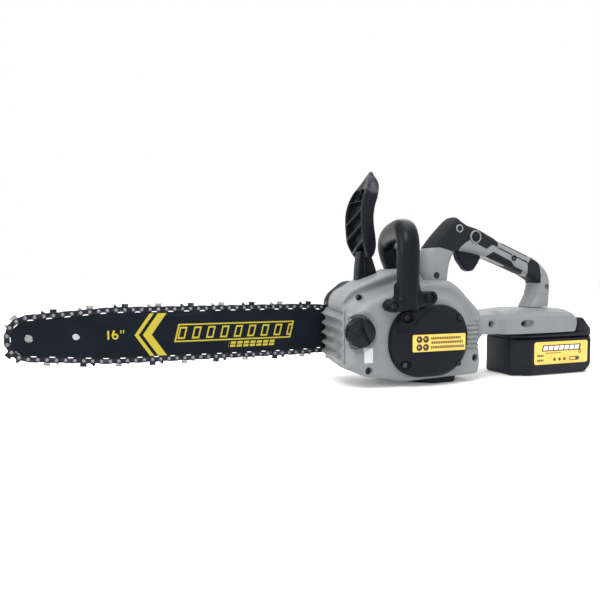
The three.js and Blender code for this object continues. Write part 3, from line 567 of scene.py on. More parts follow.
COVER = [(-66.5, 12, 43), (47, 12, 46), (47, 103.2, 40), (-66.5, 103.2, 44)]
COVER_BACK, COVER_FACE, SCREW_FLOOR = 42.3, 54.0, 48.0
COVER_SCREWS = [(-44.5, 88), (-47, 29), (34, 86), (33, 27)]
MOTOR = (0, 57)
DISC_RADIUS = 40
cover_loop = outline(COVER, steps=16)


def cover_depth(plan):
    """How far the cover's face stands from the mid-plane, by its features in turn."""
    x, z = plan[..., 0], plan[..., 1]
    rim = from_rim(plan, cover_loop)
    from_motor = np.hypot(x - MOTOR[0], z - MOTOR[1])
    outside = np.maximum(from_motor - DISC_RADIUS, 0)
    step_down = 0.9 * ease(from_motor, DISC_RADIUS, DISC_RADIUS + 1.6) + 0.075 * outside
    sunk = step_down * np.maximum(ease(z, 66, 74), dent(z, 0.7, 22, 44))
    label_bed = 1.0 * span(z, 30, 43, 68.4, 69.8)
    grooves = 0.7 * waves(z, 45, 3.6) * dent(x, 1, -43, -41) * span(z, 44.5, 45.5, 66, 67)
    notches = 1.6 * waves(z, 36, 5.6) ** 2 * ease(x, 42.5, 45) * span(z, 34, 36, 63, 65)
    depth = COVER_FACE - roll(rim, 8.5, 6.5) - sunk - label_bed - grooves - notches
    for screw_x, screw_z in COVER_SCREWS:
        from_screw = np.hypot((x - screw_x) * 0.75, z - screw_z)
        depth = depth - dent(from_screw, depth - SCREW_FLOOR, 5.0, 6.6)
    return depth + 0.9 * bell(z - 69.6, 0.9) * ease(rim, 1, 5)


cover_corners = [(-66.5, 12), (47, 12), (47, 103.2), (-66.5, 103.2)]
plan = fill(cover_loop, cover_corners, 170, 150)
dished(
    "cover_motor", at_depth(plan, -cover_depth(plan)), -COVER_BACK, black_nylon,
    "powerhead", ["motor_cover"], skirt=((0.75, 0.0), (0.92, 0.0)),
)

# The label on the cover: printed film, with four dark discs and three rows of dashes on yellow.
def band(value, low, high, soft=0.12):
    """1 where the Wire value is between low and high, with soft edges."""
    return value.rise(low - soft, low + soft) * value.rise(high + soft, high - soft)


def reach(a, b, at):
    """The distance of the point (a, b) from the point at, as a Wire."""
    a, b = a - at[0], b - at[1]
    return (a * a + b * b).math("SQRT")


LABEL_YELLOW = (0.86, 0.60, 0.12)
INK = (0.025, 0.016, 0.012)


def cover_print(place, axes):
    """Four discs, each with a pale spot, and three rows of dashes, on mottled yellow."""
    x, _, z = axes
    mark = 0.0
    for centre_x in (-28.5, -19.0):
        for centre_z in (60.5, 50.5):
            disc = reach(x, z, (centre_x, centre_z)).rise(4.5, 4.2)
            spot = reach(x, z, (centre_x - 0.6, centre_z + 0.5)).rise(1.6, 1.3)
            mark = disc - spot * 0.6 + mark
    for row, (line_z, end) in enumerate(((61.4, 33), (56.0, 36), (50.2, 38))):
        words = (x * 0.29 + row * 0.37).math("FRACT").rise(0.10, 0.20)
        letters = (x * 1.3).math("FRACT").rise(0.1, 0.4) * 0.5 + 0.5
        line = band(z, line_z - 1.7, line_z + 1.7, 0.25) * band(x, -12, end) * words * letters
        mark = mark.math("MAXIMUM", line)
    tone = place.noise(60, 2.0).rise(0.3, 0.7).blend(LABEL_YELLOW, (0.88, 0.52, 0.08))
    return mark.blend(tone, INK)


label_film = finish("label_film", cover_print, scuffed(0.35), gloss=0.4)
LABEL = [(-38, 45, 1.5), (40, 45, 1.5), (40, 66.5, 1.5), (-38, 66.5, 1.5)]
LABEL_PLANE = 53.0
FILM_EDGE = ((-0.22, 0.15), (-0.12, 0), (0.3, 0))
slab(
    "cover_label", LABEL, [(step - LABEL_PLANE, inset) for step, inset in FILM_EDGE],
    label_film, "powerhead",
)

# ------------------------------------------------------------------ sunk screws
# Steel screws at the bottom of the holes in the mouldings, each with a hexalobe socket. Their near-black
# colour is partly blackened steel and partly painted shade for the deep holes.
def screw_heads(name, places, radius):
    """Pan heads at (x, y of the head's top, z), facing -Y.

    The profile runs from the axis outwards: the socket's floor and wall, whose radius waves six
    times a turn, the crown and the head's side.
    """
    profile = np.array([
        (0.0, 1.5), (0.42, 1.5), (0.46, 0.1), (0.62, 0.0), (0.86, 0.18), (1.0, 0.7), (1.0, 2.4),
    ])
    rows, turns = len(profile), 24
    angle = np.linspace(0, 2 * np.pi, turns, endpoint=False)
    wave = np.where((profile[:, 0] > 0.3) & (profile[:, 0] < 0.5), 0.16, 0.0)
    r = radius * profile[:, :1] * (1 + wave[:, None] * np.cos(6 * angle))
    height = np.broadcast_to(profile[:, 1:], r.shape)
    rings = np.stack([r * np.cos(angle), height, r * np.sin(angle)], -1)
    points = np.concatenate([rings + np.array(place) for place in places]).reshape(-1, 3)
    quads, back = weave(rows, turns, wrap_v=True), np.arange((rows - 1) * turns, rows * turns)
    faces = []
    for first in range(0, len(points), rows * turns):
        faces += (quads + first).tolist() + [(back + first).tolist()]
    return make(name, points, faces, dark_metal_and_shade, "powerhead", sharp=35)


def rubbed(base, bright, scale=70):
    """A metal's colour: its dark finish rubbed bright in patches."""

    def colour(place, axes):
        patch = place.noise(scale, 4.0).rise(0.52, 0.72)
        return (patch * 0.6).blend(base, bright)

    return colour


def brushed(base, spread=0.18):
    """A metal's roughness: fine lines along X over a broad mottle."""

    def roughness(place, axes):
        lines = place.noise(260, 2.0, (0.15, 1, 6)) - 0.5
        return lines * spread + (place.noise(40, 2.0) - 0.5) * spread + base

    return roughness


def pitted(place, axes):
    """A height: fine pits and shallow dents."""
    return place.noise(800, 3.0) * 0.6 + place.noise(120, 2.0) * 0.4


def metal_of(name, colour, rough, metal, depth, gloss=0.5):
    """A metal whose finish is rubbed bright in patches, with fine lines and pits of that depth."""
    return finish(name, colour, brushed(rough), metal, relief=pitted, depth=depth, gloss=gloss)


# Near-black steel for the screws and the frame's dark steel parts; on the screws its darkness is also
# painted shade for the deep holes they sit in.
dark_metal_and_shade = metal_of("dark_metal_and_shade", rubbed((0.02, 0.02, 0.023), (0.12, 0.12, 0.12)), 0.38, 0.85, 0.03)
HEAD_HEIGHT = 4.4
head_tops = left_depth(np.array(SHELL_SCREWS, float)) + HEAD_HEIGHT
screw_heads("shell_screws", [(x, -top, z) for (x, z), top in zip(SHELL_SCREWS, head_tops)], 3.9)

# ------------------------------------------------------------------ tank windows
# Two strips of milky polyethylene, the oil tank's own wall, that show through gaps in the shell.
milky = moulded(
    "milky_tank", worn((0.60, 0.63, 0.64), (0.52, 0.55, 0.56), (0.70, 0.70, 0.68), 0.05), 0.33, 0.02, 0.45,
)


def window(name, front_x, rear_x, low, high, proud=0.35, thick=1.2):
    """A strip that follows the left wall, a little proud of it, on a plain grid in X and Z."""
    sides = np.linspace(front_x, rear_x, 24), np.linspace(low, high, 36)
    across, up = np.meshgrid(*sides, indexing="ij")
    plan = np.stack([across, up], -1)
    wall = -left_depth(plan)
    edge = np.minimum(np.minimum(across - front_x, rear_x - across), np.minimum(up - low, high - up))
    front = at_depth(plan, wall - proud * ease(edge, -0.1, 0.5))
    back = at_depth(plan, wall + thick)
    return shield(name, front, back, milky, "powerhead", sharp=60)


window("tank_window_low", -99, -87, 33, 51.5)
window("tank_window_front", -116.4, -103, 58.5, 87.5)

# ------------------------------------------------------------------ bumper
# A die-cast zinc bumper on the nose of the housing: a comb of blunt teeth, deepest on the bar side.
cast_zinc = metal_of(
    "cast_zinc", rubbed((0.175, 0.195, 0.195), (0.33, 0.35, 0.34), 45), 0.45, 0.25, 0.12, 0.4,
)
TIP_PITCH, FIRST_TIP, SLANT = 12.7, 91.0, 5.2
BUMPER_X, NEAR_Y, FAR_Y, LOW_Z, HIGH_Z = -118.4, -27, 30.5, 31, 98.3
side_y, side_z = np.linspace(NEAR_Y, FAR_Y, 60), np.linspace(LOW_Z, HIGH_Z, 240)
y_grid, z_grid = np.meshgrid(side_y, side_z, indexing="ij")
drift = (y_grid - NEAR_Y) / (FAR_Y - NEAR_Y)
# A tooth's height falls as a power of the distance from its tip, and its tips slant across the nose.
phase = ((z_grid - FIRST_TIP + SLANT * (1 - drift)) / TIP_PITCH) % 1.0
tooth = np.abs(1 - phase * 2) ** 1.6
ends = ease(z_grid, LOW_Z, 34) * (1 - ease(z_grid, 95.5, HIGH_Z) * 0.8)
stands_out = 1.6 + 6.3 * tooth * (0.42 + 0.58 * ease(drift, 0.05, 0.8)) * ends
hollow = 0.9 * np.sin(np.pi * np.clip((y_grid + 20) / 44, 0, 1)) * (1 - tooth)
near_edge = 0.35 + 0.65 * ease(y_grid, NEAR_Y, -24.5)
front = np.stack([BUMPER_X - (stands_out - hollow) * near_edge, y_grid, z_grid], -1)
back = np.stack([np.full_like(y_grid, BUMPER_X + 0.3), y_grid, z_grid], -1)
shield("bumper", front, back, cast_zinc, "powerhead", ["bumper_spikes"], sharp=50)

# ------------------------------------------------------------------ oil cap
# A black screw cap with a raised thumb wing, which turns on a plug in the tank's neck.
CAP_RADIUS, CAP_BACK, CAP_FACE = 18.7, 39.4, 51.2
WING_CENTRE, WING_RADIUS = (30.0, 11.0), 29.5
RINGS, CAP_TURNS = 56, 144
angle = np.linspace(0, 2 * np.pi, CAP_TURNS, endpoint=False)[None]
r = CAP_RADIUS * np.linspace(0, 1, RINGS)[:, None] ** 0.8
knurled = r - 0.55 * ease(r, 17.6, 18.6) * (0.5 - 0.5 * np.cos(angle * 24))
a, b = knurled * np.cos(angle), knurled * np.sin(angle)
# The wing is a lens where two circles overlap, with a trench round it and a turned hub in front.
in_wing = np.minimum(WING_RADIUS - np.hypot(a - WING_CENTRE[0], b - WING_CENTRE[1]), 17.2 - r)
wing = 6.0 * np.sqrt(np.clip(in_wing / 4.5, 0, 1)) * (1 - 0.35 * ease(b, -2, 15))
trench = 1.1 * bell(in_wing + 1.2, 0.9)
from_hub = np.hypot(a + 5.6, b)
hub = 0.9 * ease(from_hub, 6.3, 5.6) - 1.1 * ease(from_hub, 4.6, 4.0) + 0.9 * ease(from_hub, 2.6, 2.0)
height = CAP_FACE - CAP_BACK - roll(CAP_RADIUS - r, 2.4, 2.2)
height = height + np.maximum(wing, 0) - trench + np.where(in_wing < -1.5, hub, 0)
SKIRT = ((0.5, 0.4), (0.12, 0.4), (0.0, 0.8))
x = np.concatenate([a, *[(CAP_RADIUS - inset) * np.cos(angle) for _, inset in SKIRT]])
z = np.concatenate([b, *[(CAP_RADIUS - inset) * np.sin(angle) for _, inset in SKIRT]])
y = np.concatenate([height, *[height[-1:] * share for share, _ in SKIRT]])
points = np.stack([OIL_CAP[0] + x, -CAP_BACK - y, OIL_CAP[1] + z], -1)
rows = len(points)
faces = weave(rows, CAP_TURNS, wrap_v=True).tolist()
faces.append(list(range((rows - 1) * CAP_TURNS, rows * CAP_TURNS)))
cap_nylon = moulded(
    "cap_nylon", worn((0.0050, 0.0060, 0.0085), (0.0035, 0.0042, 0.0065), (0.06, 0.06, 0.06), 0.06),
    0.36, 0.03, 0.2,
)
make("cap_oil", points, faces, cap_nylon, "cap", ["oil_cap"], sharp=45)
# Three short tabs on the cap's front edge, to turn it by with a tool.
TAB = ((15, -2.4), (15, 2.4), (18.9, 2.0), (18.9, -2.0))
for i, turn_by in enumerate(np.radians((158, 180, 202))):
    out = np.array([np.cos(turn_by), np.sin(turn_by)])
    side = np.array([-np.sin(turn_by), np.cos(turn_by)])
    corner = [np.array(OIL_CAP) + out * p + side * q for p, q in TAB]
    slab(
        f"cap_tab_{i + 1}", [(*c, 0.7) for c in corner], rounded(-50.2, -43, 0.6),
        cap_nylon, "cap",
    )

# ------------------------------------------------------------------ front handle
# A black nylon tube that wraps over the saw, moulded in one with a left foot that has two screw
# ears, and a right foot on the chain case.
def smooth(points, count):
    """A Catmull-Rom curve through the points, at equal steps of length."""
    points = np.asarray(points, float)
    padded = np.concatenate([2 * points[:1] - points[1:2], points, 2 * points[-1:] - points[-2:-1]])

    def at(t):
        i = np.minimum(t.astype(int), len(points) - 2)
        f = (t - i)[:, None]
        p0, p1, p2, p3 = (padded[i + k] for k in range(4))
        square, cube = 2 * p0 - 5 * p1 + 4 * p2 - p3, 3 * p1 - p0 - 3 * p2 + p3
        return 0.5 * (2 * p1 + (p2 - p0) * f + square * f**2 + cube * f**3)

    fine = np.linspace(0, len(points) - 1, 2000)
    travel = travelled(at(fine))
    return at(np.interp(np.linspace(0, travel[-1], count), travel, fine))


def squarish(wave, power):
    """A sine or cosine pushed towards 1 and -1: sgn(w) |w|^(2/power)."""
    return np.sign(wave) * np.abs(wave) ** (2 / power)


def tube(name, path, radius, across, material, body, stands_for=(), power=2.3, turns=64):
    """A squarish round section carried along a path, turned so that one axis is square to across.

    The section is the radius times |cos|^(2/power) by the radius times |sin|^(2/power).
    """
    along_path = np.gradient(path, axis=0)
    along_path /= np.linalg.norm(along_path, axis=1, keepdims=True)
    second = np.cross(along_path, np.array(across, float))
    second /= np.linalg.norm(second, axis=1, keepdims=True)
    first = np.cross(second, along_path)
    angle = np.linspace(0, 2 * np.pi, turns, endpoint=False)
    c, s = squarish(np.cos(angle), power), squarish(np.sin(angle), power)
    ring = path[:, None] + first[:, None] * (radius[:, None] * c)[..., None]
    ring = ring + second[:, None] * (radius[:, None] * s)[..., None]
    faces = weave(len(path), turns, wrap_v=True).tolist()
    faces += [list(range(turns)), list(range((len(path) - 1) * turns, len(path) * turns))]
    return make(name, ring, faces, material, body, stands_for)


HANDLE_RINGS = 150
HANDLE_LINE = [
    (-48, -57, 99), (-48, -57, 125), (-48, -57, 150), (-48, -57, 170), (-47.0, -53.5, 184),
    (-44.3, -44, 194.5), (-40, -29, 198.5), (-33, -5, 198.5), (-25, 22, 196.5), (-19, 42, 192),
    (-15.5, 52.5, 182.5), (-12, 54.5, 169), (-6.5, 53, 154), (-2, 50, 138),
]
handle_nylon = moulded(
    "handle_nylon", worn((0.0036, 0.0054, 0.0088), (0.0024, 0.0037, 0.0064), (0.06, 0.06, 0.06), 0.05),
    0.36, 0.03, 0.13,
)
swell = 13.2 + 0.5 * np.sin(np.linspace(0, np.pi, HANDLE_RINGS))
tube(
    "handle_front", smooth(HANDLE_LINE, HANDLE_RINGS), swell, (-0.96, 0.278, 0), handle_nylon,
    "powerhead", ["front_handle"],
)
HANDLE_SCREWS = [(-72, 104), (-21, 113)]
LEFT_FOOT = [
    (-79.6, 104, 6.5), (-72.5, 95.8, 6.5), (-56, 96.8, 4), (-37, 99.5, 8), (-16, 105.5, 7),
    (-12.8, 113.5, 7), (-21, 121, 6.5), (-33.5, 120.4, 5), (-34.7, 133, 6), (-61.2, 133, 6),
    (-61.8, 112, 5), (-72, 111.8, 6.5),
]
RIGHT_FOOT = [(-19, 134, 6), (14, 134, 6), (12, 150, 8), (-14, 150, 8)]
for name, corners, levels in (
    ("handle_foot_left", LEFT_FOOT, rounded(-66.5, -42.3, 5.5, 6)),
    ("handle_foot_right", RIGHT_FOOT, rounded(36.5, 61, 4)),
):
    slab(name, corners, levels, handle_nylon, "powerhead")


def bezel(name, places, inner, outer, low, high, material):
    """Round collars with a hole, each turned from a rounded profile about a line along Y."""
    t = np.linspace(-np.pi / 2, np.pi / 2, 9)
    middle, half = (inner + outer) / 2, (outer - inner) / 2
    radius = np.concatenate([[outer], middle - half * np.sin(t), [inner]])[:, None]
    height = np.concatenate([[low], high + half * (1 - np.cos(t)), [low]])[:, None]
    rows, turns = len(radius), 48
    angle = np.linspace(0, 2 * np.pi, turns, endpoint=False)
    across = np.broadcast_to(height, (rows, turns))
    rings = np.stack([radius * np.cos(angle), across, radius * np.sin(angle)], -1)
    points = np.concatenate([rings + np.array([x, 0, z]) for x, z in places])
    quads = weave(rows, turns, wrap_u=True, wrap_v=True)
    faces = np.concatenate([quads + i * rows * turns for i in range(len(places))])
    return make(name, points, faces, material, "powerhead")


bezel("handle_ears", HANDLE_SCREWS, 4.4, 8.3, -58, -69.2, handle_nylon)
screw_heads("handle_bolts", [(x, -66.8, z) for x, z in HANDLE_SCREWS], 4.3)

# ------------------------------------------------------------------ hand guard
# A black nylon paddle that the back of the hand pushes forward: hollowed and ribbed at the front,
# rounded at the rear, with a bevelled tip, on an arm that goes into the housing.
def curve_at(z, pairs):
    """A value read at height z from (z, value) pairs, smoothed by a Catmull-Rom curve."""
    line = smooth(pairs, 400)
    return np.interp(z, line[:, 0], line[:, 1])


GUARD_FRONT = [
    (165, -76.5), (176, -80.2), (190, -82.8), (208, -84.6), (228, -84.4), (243, -81.6),
    (257, -76.2), (268, -72.6), (274.6, -71.0),
]
GUARD_REAR = [
    (165, -66.5), (172, -64), (180, -62.6), (192, -63.8), (206, -65.9), (218, -66.2),
    (231, -64.2), (243, -60.4), (255, -58.6), (262, -60.2), (269, -65.0), (274.6, -69.6),
]
GUARD_OUTLINE = [
    (-5, 163, 6), (38, 163, 9), (43, 186, 24), (42, 222, 40), (31, 253, 16), (4, 274.5, 4),
    (-3.8, 274.1, 3), (-5, 240, 6),
]
RIBS_Z = (177.5, 198.0, 217.0)
HOLLOW = 8.5
guard_loop = outline(GUARD_OUTLINE, steps=10)
guard_plan = fill(guard_loop, [(-5, 163), (38, 163), (20, 264), (-5, 262)], 120, 240, 0.6)
y, z = guard_plan[..., 0], guard_plan[..., 1]
rim = from_rim(guard_plan, guard_loop)
front_x = curve_at(z, GUARD_FRONT) - 2.6 * ease(y, 0, 42) * ease(z, 266, 235) * ease(z, 165, 185)
rear_x = curve_at(z, GUARD_REAR) - 0.6 * ease(y, 10, 42)
# The hollow stops at the frame, at the tilted ribs, at a level one, and at the slotted boss on top.
pocket = ease(rim, 3.4, 5.0) * ease(z, 252.5, 250) * ease(np.abs(z - 236.5), 0.6, 1.6)
for rib_z in RIBS_Z:
    pocket = pocket * ease(np.abs(z + 0.45 * (y - 18) - rib_z), 1.7, 3.2)
in_boss = 4.6 - np.hypot((y - 14.5) * 0.9, np.maximum(np.abs(z - 244) - 4, 0))
boss = ease(in_boss, 0, 0.8) - 1.2 * ease(in_boss, 1.5, 2.3)
sunk = HOLLOW * pocket * (1 - boss * ease(z, 236, 238))
front = np.stack([front_x + roll(rim, 2.2, 2.0) + sunk, y, z], -1)
back = np.stack([np.maximum(rear_x - roll(rim, 4.5, 3.4), front_x + 2.4), y, z], -1)
guard_base = worn((0.0062, 0.0082, 0.0125), (0.0042, 0.0058, 0.0092), (0.09, 0.09, 0.09), 0.12)


def lighter_tip(place, axes):
    """The guard's colour, lighter grey in noisy patches at the tip."""
    _, y, z = axes
    lighter_patches = z.rise(244, 250) * y.rise(9, 4) * place.noise(90, 3.0).rise(0.25, 0.6)
    return (lighter_patches * 0.8).blend(guard_base(place, axes), (0.085, 0.090, 0.098))


guard_nylon = moulded("guard_nylon", lighter_tip, 0.32, 0.03, 0.16)
shield("guard_paddle", front, back, guard_nylon, "guard", ["hand_guard"], sharp=38)
GUARD_ARM = [
    (-73, 110, 7), (-58.5, 110, 7), (-52, 134, 12), (-57, 150, 10), (-65, 172, 3), (-80.5, 173, 3),
    (-83, 150, 14), (-84, 133, 12),
]
ARM_RIB = [(-73, 124, 3), (-68.5, 124, 3), (-71, 172, 2), (-76, 172, 2)]
for name, corners, levels in (
    ("guard_arm", GUARD_ARM, rounded(8.6, 23.4, 2.2)), ("guard_arm_rib", ARM_RIB, rounded(6.9, 25.1, 1.4)),
):
    slab(name, corners, levels, guard_nylon, "guard")

# ------------------------------------------------------------------ rear handle
# Two grey nylon halves that make one loop: a tower on the housing, the grip, and a post down to the
# battery dock. Soft black rubber is moulded over them at the front, in the side panels and behind.
OUTER = [
    (-2, 125), (1.5, 150), (5.5, 168), (17, 184), (34, 203), (52, 219.0), (62, 215.0), (72, 209.5),
    (88, 205.2), (104, 198.2), (126, 188.2), (156, 176.9), (179, 168.3), (194, 161.0), (205.5, 152.5),
    (213, 143), (216.8, 131), (217.2, 114), (216.4, 95),
]
INNER = [
    (41, 125), (44, 150), (48, 163), (52, 170.3), (55.5, 173.0), (60, 173.6), (68, 173), (80, 171.2),
    (92, 168.8), (106, 165.4), (124, 160.2), (150, 150.9), (172, 142.6), (184, 137.6), (194.5, 131.5),
    (195.6, 126.5), (193.6, 119), (189, 108), (180, 95),
]
HALF_WIDTH, HANDLE_POWER = 17.2, 3.2
STATIONS, TURNS, FINE = 420, 84, 900
FRONT_RUBBER = [
    (-16, 176.4), (10, 176.9), (25.4, 177.7), (37.5, 174.8), (49.8, 170.9), (55.8, 178.2),
    (64.4, 184.6), (73, 189), (80, 187), (88.3, 181.9), (99.9, 176.9), (105, 179.6), (110.1, 182.6),
    (118.6, 179.5), (119.8, 185.7), (116, 189.8), (126, 198), (70, 226), (30, 230), (-16, 200),
]
SIDE_RUBBER = [
    (98, 166.8), (112, 173.3), (142.5, 160.4), (148.1, 152.9), (162.4, 147.6), (158.4, 141.1),
    (165, 137.5), (172, 132), (178.1, 129), (165, 118), (122, 134), (126, 149), (129.5, 149),
    (128.3, 154.9), (99.3, 165.8),
]
REAR_RUBBER = [
    (171.9, 157.4), (178.6, 164), (183, 172), (191, 170), (194.2, 154.3), (195.8, 143.3),
    (195.5, 129.2), (178.1, 129.8), (160, 130), (171.1, 134.5), (167.6, 138.9), (171.6, 143.3),
]
GROOVE = [(127.8, 186.2), (127.2, 184.2), (174.4, 166.2), (175.2, 168)]
LINE_FRONT = [(119.5, 180.0), (118.8, 178.2), (144.2, 168.4), (145, 170)]
LINE_REAR = [(151.5, 167.5), (150.8, 166), (171.9, 158.0), (172.5, 160)]


def loop_skin(half):
    """The handle's surface on one side of the seam, and its signed distance to the rubber zones.

    Each section runs from the outer line to the inner one. With m their middle and h half their
    difference, a point is m + h |cos|^(2/n) sgn(cos), and stands out by the half width times
    |sin|^(2/n): a superellipse of power n. The zones lean forward under the grip, as far as the
    section has turned in.
    """
    both = smooth(np.concatenate([OUTER, INNER], 1), FINE)
    travel = travelled((both[:, :2] + both[:, 2:]) / 2)
    even = np.interp(np.linspace(0, travel[-1], STATIONS), travel, np.arange(FINE))
    both = np.stack([np.interp(even, np.arange(FINE), column) for column in both.T], 1)
    outer, inner = both[:, :2], both[:, 2:]
    middle, arm = (outer + inner) / 2, (outer - inner) / 2
    angle = np.linspace(0, np.pi, TURNS)
    c, s = squarish(np.cos(angle), HANDLE_POWER), np.abs(squarish(np.sin(angle), HANDLE_POWER))
    plan = middle[:, None] + arm[:, None] * c[None, :, None]
    width = HALF_WIDTH * (0.97 + 0.03 * np.cos(np.linspace(0, 4 * np.pi, STATIONS)))
    side = half * (width[:, None] * s[None])
    skin = at_depth(plan, side)
    lean = ease(c, 0, -0.3)[None] * 0.92 * (HALF_WIDTH - np.abs(side))
    marked = np.stack([plan[..., 0] - lean, plan[..., 1]], -1)
    zones = (FRONT_RUBBER, SIDE_RUBBER, REAR_RUBBER, GROOVE, LINE_FRONT, LINE_REAR)
    loops = [outline([(*corner, 0.4) for corner in corners], steps=2) for corners in zones]
    return skin, np.max([depth_inside(marked, loop) for loop in loops], axis=0)


def outward(skin, half):
    """The unit normals of a half handle's grid, turned away from the seam."""
    normal = np.cross(np.gradient(skin, axis=0), np.gradient(skin, axis=1))
    normal /= np.linalg.norm(normal, axis=-1, keepdims=True).clip(1e-9)
    return normal * (1 if normal[:, TURNS // 2, 1].sum() * half > 0 else -1)


def kept_off_seam(points, half, gap):
    """The points, with those nearer the seam's plane than the gap moved out to it."""
    moved = points.copy()
    moved[..., 1] = np.where(points[..., 1] * half < gap, half * gap, points[..., 1])
    return moved


def square(at, half, radius):
    """The corners of a square about a point, for an outline."""
    return [(at[0] + a * half, at[1] + b * half, radius) for a, b in SQUARE]


rubber = moulded(
    "grip_rubber", worn((0.0120, 0.0145, 0.0185), (0.0080, 0.0098, 0.0130), (0.10, 0.10, 0.10), 0.10),
    0.62, 0.06, 0.14, 0.10,
)
# The rubber's skin dives under the nylon outside its zones and stands proud inside them.
DIVE, PROUD = 0.9, 0.55
HALVES = (("left", -1), ("right", 1))
for side, half in HALVES:
    skin, zone = loop_skin(half)
    skin[..., 1] += half * 0.12
    normal = outward(skin, half)
    normal[:, [0, -1], 1] = 0
    # A groove round the post where it meets the dock's collar.
    from_joint = skin[..., 2] - 113.0 + 0.075 * (skin[..., 0] - 190)
    groove = 0.8 * bell(from_joint, 0.9) * ease(skin[..., 0], 140, 150)
    skin = skin - normal * groove[..., None]
    shield(
        f"handle_{side}", skin, kept_off_seam(skin - normal * 2.2, half, 0.12), grey_nylon,
        "powerhead", [f"rear_handle_{side}"], sharp=60,
    )
    lift = np.clip(zone * 1.3, -DIVE, PROUD)[..., None]
    over, under = [kept_off_seam(layer, half, 0.1) for layer in (skin + normal * lift, skin - normal * 1.6)]
    shield(f"rubber_{side}", over, under, rubber, "powerhead", [f"grip_{side}"], sharp=60)

BUTTON_AT, TOP_SCREW, MIDDLE_SCREW, REAR_SCREW = (81, 193), (55.5, 203.6), (147.1, 164.8), (207.4, 124.3)
bezel("button_collar", [BUTTON_AT], 6.9, 8.7, -14, -19.6, grey_nylon)
bezel("screw_collar", [TOP_SCREW], 3.7, 5.5, -13, -18.2, grey_nylon)
heads = ((TOP_SCREW, -17.3), (MIDDLE_SCREW, -17.9), (REAR_SCREW, -17.8))
screw_heads("handle_screws", [(x, y, z) for (x, z), y in heads], 3.5)
TOWER_HOLE = (19.9, 140.6)
# A dark rubber disc in the tower's screw hole, round the screw: painted shade for the deep well.
slab(
    "tower_hole_shade", square(TOWER_HOLE, 4.3, 4.2), rounded(-17.55, -15, 0.3), rubber,
    "powerhead",
)
screw_heads("tower_screw", [(TOWER_HOLE[0], -18.0, TOWER_HOLE[1])], 2.4)
bezel("small_collar", [MIDDLE_SCREW], 2.9, 3.9, -14, -18.3, rubber)

# ------------------------------------------------------------------ trigger and lock-off button
# The black trigger turns on its pin inside the handle. The button is one pin across the handle.
TRIGGER = [
    (60, 172, 4), (63.5, 162, 10), (74.5, 148.8, 5), (80, 145.9, 6), (87.5, 147, 6), (94, 155.5, 12),
    (99.3, 164.5, 4), (98.5, 171.5, 2), (69.5, 184.5, 3), (59.5, 184.5, 3),
]
slab("trigger_blade", TRIGGER, rounded(-6.8, 6.8, 3.2, 6), black_nylon, "trigger", ["trigger"])
slab(
    "lock_button", square(BUTTON_AT, 5.9, 5.7),
    [(-19.4, 2.6), (-19.9, 2.0), (-20.0, 1.2), (-19.6, 0.5), (-19.0, 0.0), (18.0, 0.0), (18.4, 0.6)],
    black_nylon, "lock_off", ["lock_off_button"], steps=12,
)

# ------------------------------------------------------------------ battery dock
# Grey nylon halves that hold the battery: a neck from the motor housing, then a wide flat body with
# a domed top. One deep screw hole is in the neck and one in an oval pocket in the side.
DOCK = [
    (79.6, 59.8, 1), (239.6, 59.8, 4), (246.0, 76, 3), (246.0, 85, 4), (241.5, 90.4, 6),
    (228, 92.8, 30), (190, 94.0, 30), (150, 94.0, 30), (112, 91.5, 20), (79.6, 90.5, 2),
]
DOCK_TOP = [(79, 90.3), (112, 91.4), (150, 93.8), (190, 93.9), (228, 92.7), (241.5, 90.2), (247, 85)]
DOCK_SHOULDER = [(0, 24), (1.2, 17), (4.6, 6.4), (5.4, 5.2), (10.2, 0.5), (11.6, 0)]
NECK_SCREW, POCKET, POCKET_SCREW = (100.4, 74), (152.5, 74.2), (149.5, 74.2)
DOCK_HALF = [(79.5, 28.6), (109, 29.2), (112, 30.4), (118.5, 38.6), (121, 39.2), (160, 41.7), (246, 37.9)]
dock_loop = outline(DOCK)


def dock_depth(plan):
    """Half the dock's width at its side: the plan's width, less the rounded shoulder and the holes."""
    x, z = plan[..., 0], plan[..., 1]
    half = np.interp(x, *np.array(DOCK_HALF).T)
    below = np.clip(curve_at(x, DOCK_TOP) - z, 0, 20)
    depth = half - np.interp(below, *np.array(DOCK_SHOULDER).T) - roll(z - 59.8, 2.5, 1.6)
    depth = depth - roll(np.maximum(245.9 - x, 0), 5, 4)
    depth = depth - dent(np.hypot(x - NECK_SCREW[0], z - NECK_SCREW[1]), 7, 3.9, 4.8)
    depth = depth - dent(np.hypot((x - POCKET[0]) / 2.2, z - POCKET[1]), 5.5, 4.2, 5.4)
    return depth - dent(np.hypot(x - POCKET_SCREW[0], z - POCKET_SCREW[1]), 6, 3.7, 4.5)


plan = fill(dock_loop, [(79.6, 59.8), (239.6, 59.8), (246, 86), (79.6, 90.5)], 200, 90, 0.6)
for side, half in HALVES:
    dished(
        f"dock_{side}", at_depth(plan, half * dock_depth(plan)), half * 0.12, grey_nylon,
        "powerhead", ["battery_dock"], skirt=((0.5, 0.0), (0.97, 0.0)), wall=SHELL_WALL,
    )
GUSSET = [(79.3, 50, 1), (82, 51, 2), (97, 66, 4), (97, 70, 1), (79.3, 70, 1)]
slab("dock_gusset", GUSSET, rounded(-24, 24, 1.5), grey_nylon, "powerhead")
screw_heads("dock_screws", [(x, y, z) for (x, z), y in ((NECK_SCREW, -23.5), (POCKET_SCREW, -32.5))], 3.8)

# ------------------------------------------------------------------ battery pack
# A black case with a lid, broad chamfers at its corners, ribs down its front, and a printed label.
CASE = [(136, 0, 5), (262, 0, 7), (277, 13, 7), (277, 51.8, 1), (136, 51.8, 1)]
LID = [(136, 52.2, 1), (276.6, 52.2, 1), (265, 59, 4), (136, 59, 3)]
PACK_HALF = [(136, 25.0), (137.5, 26.2), (159.5, 37.4), (162, 38.4), (269, 38.4), (271, 37.6), (277, 32)]


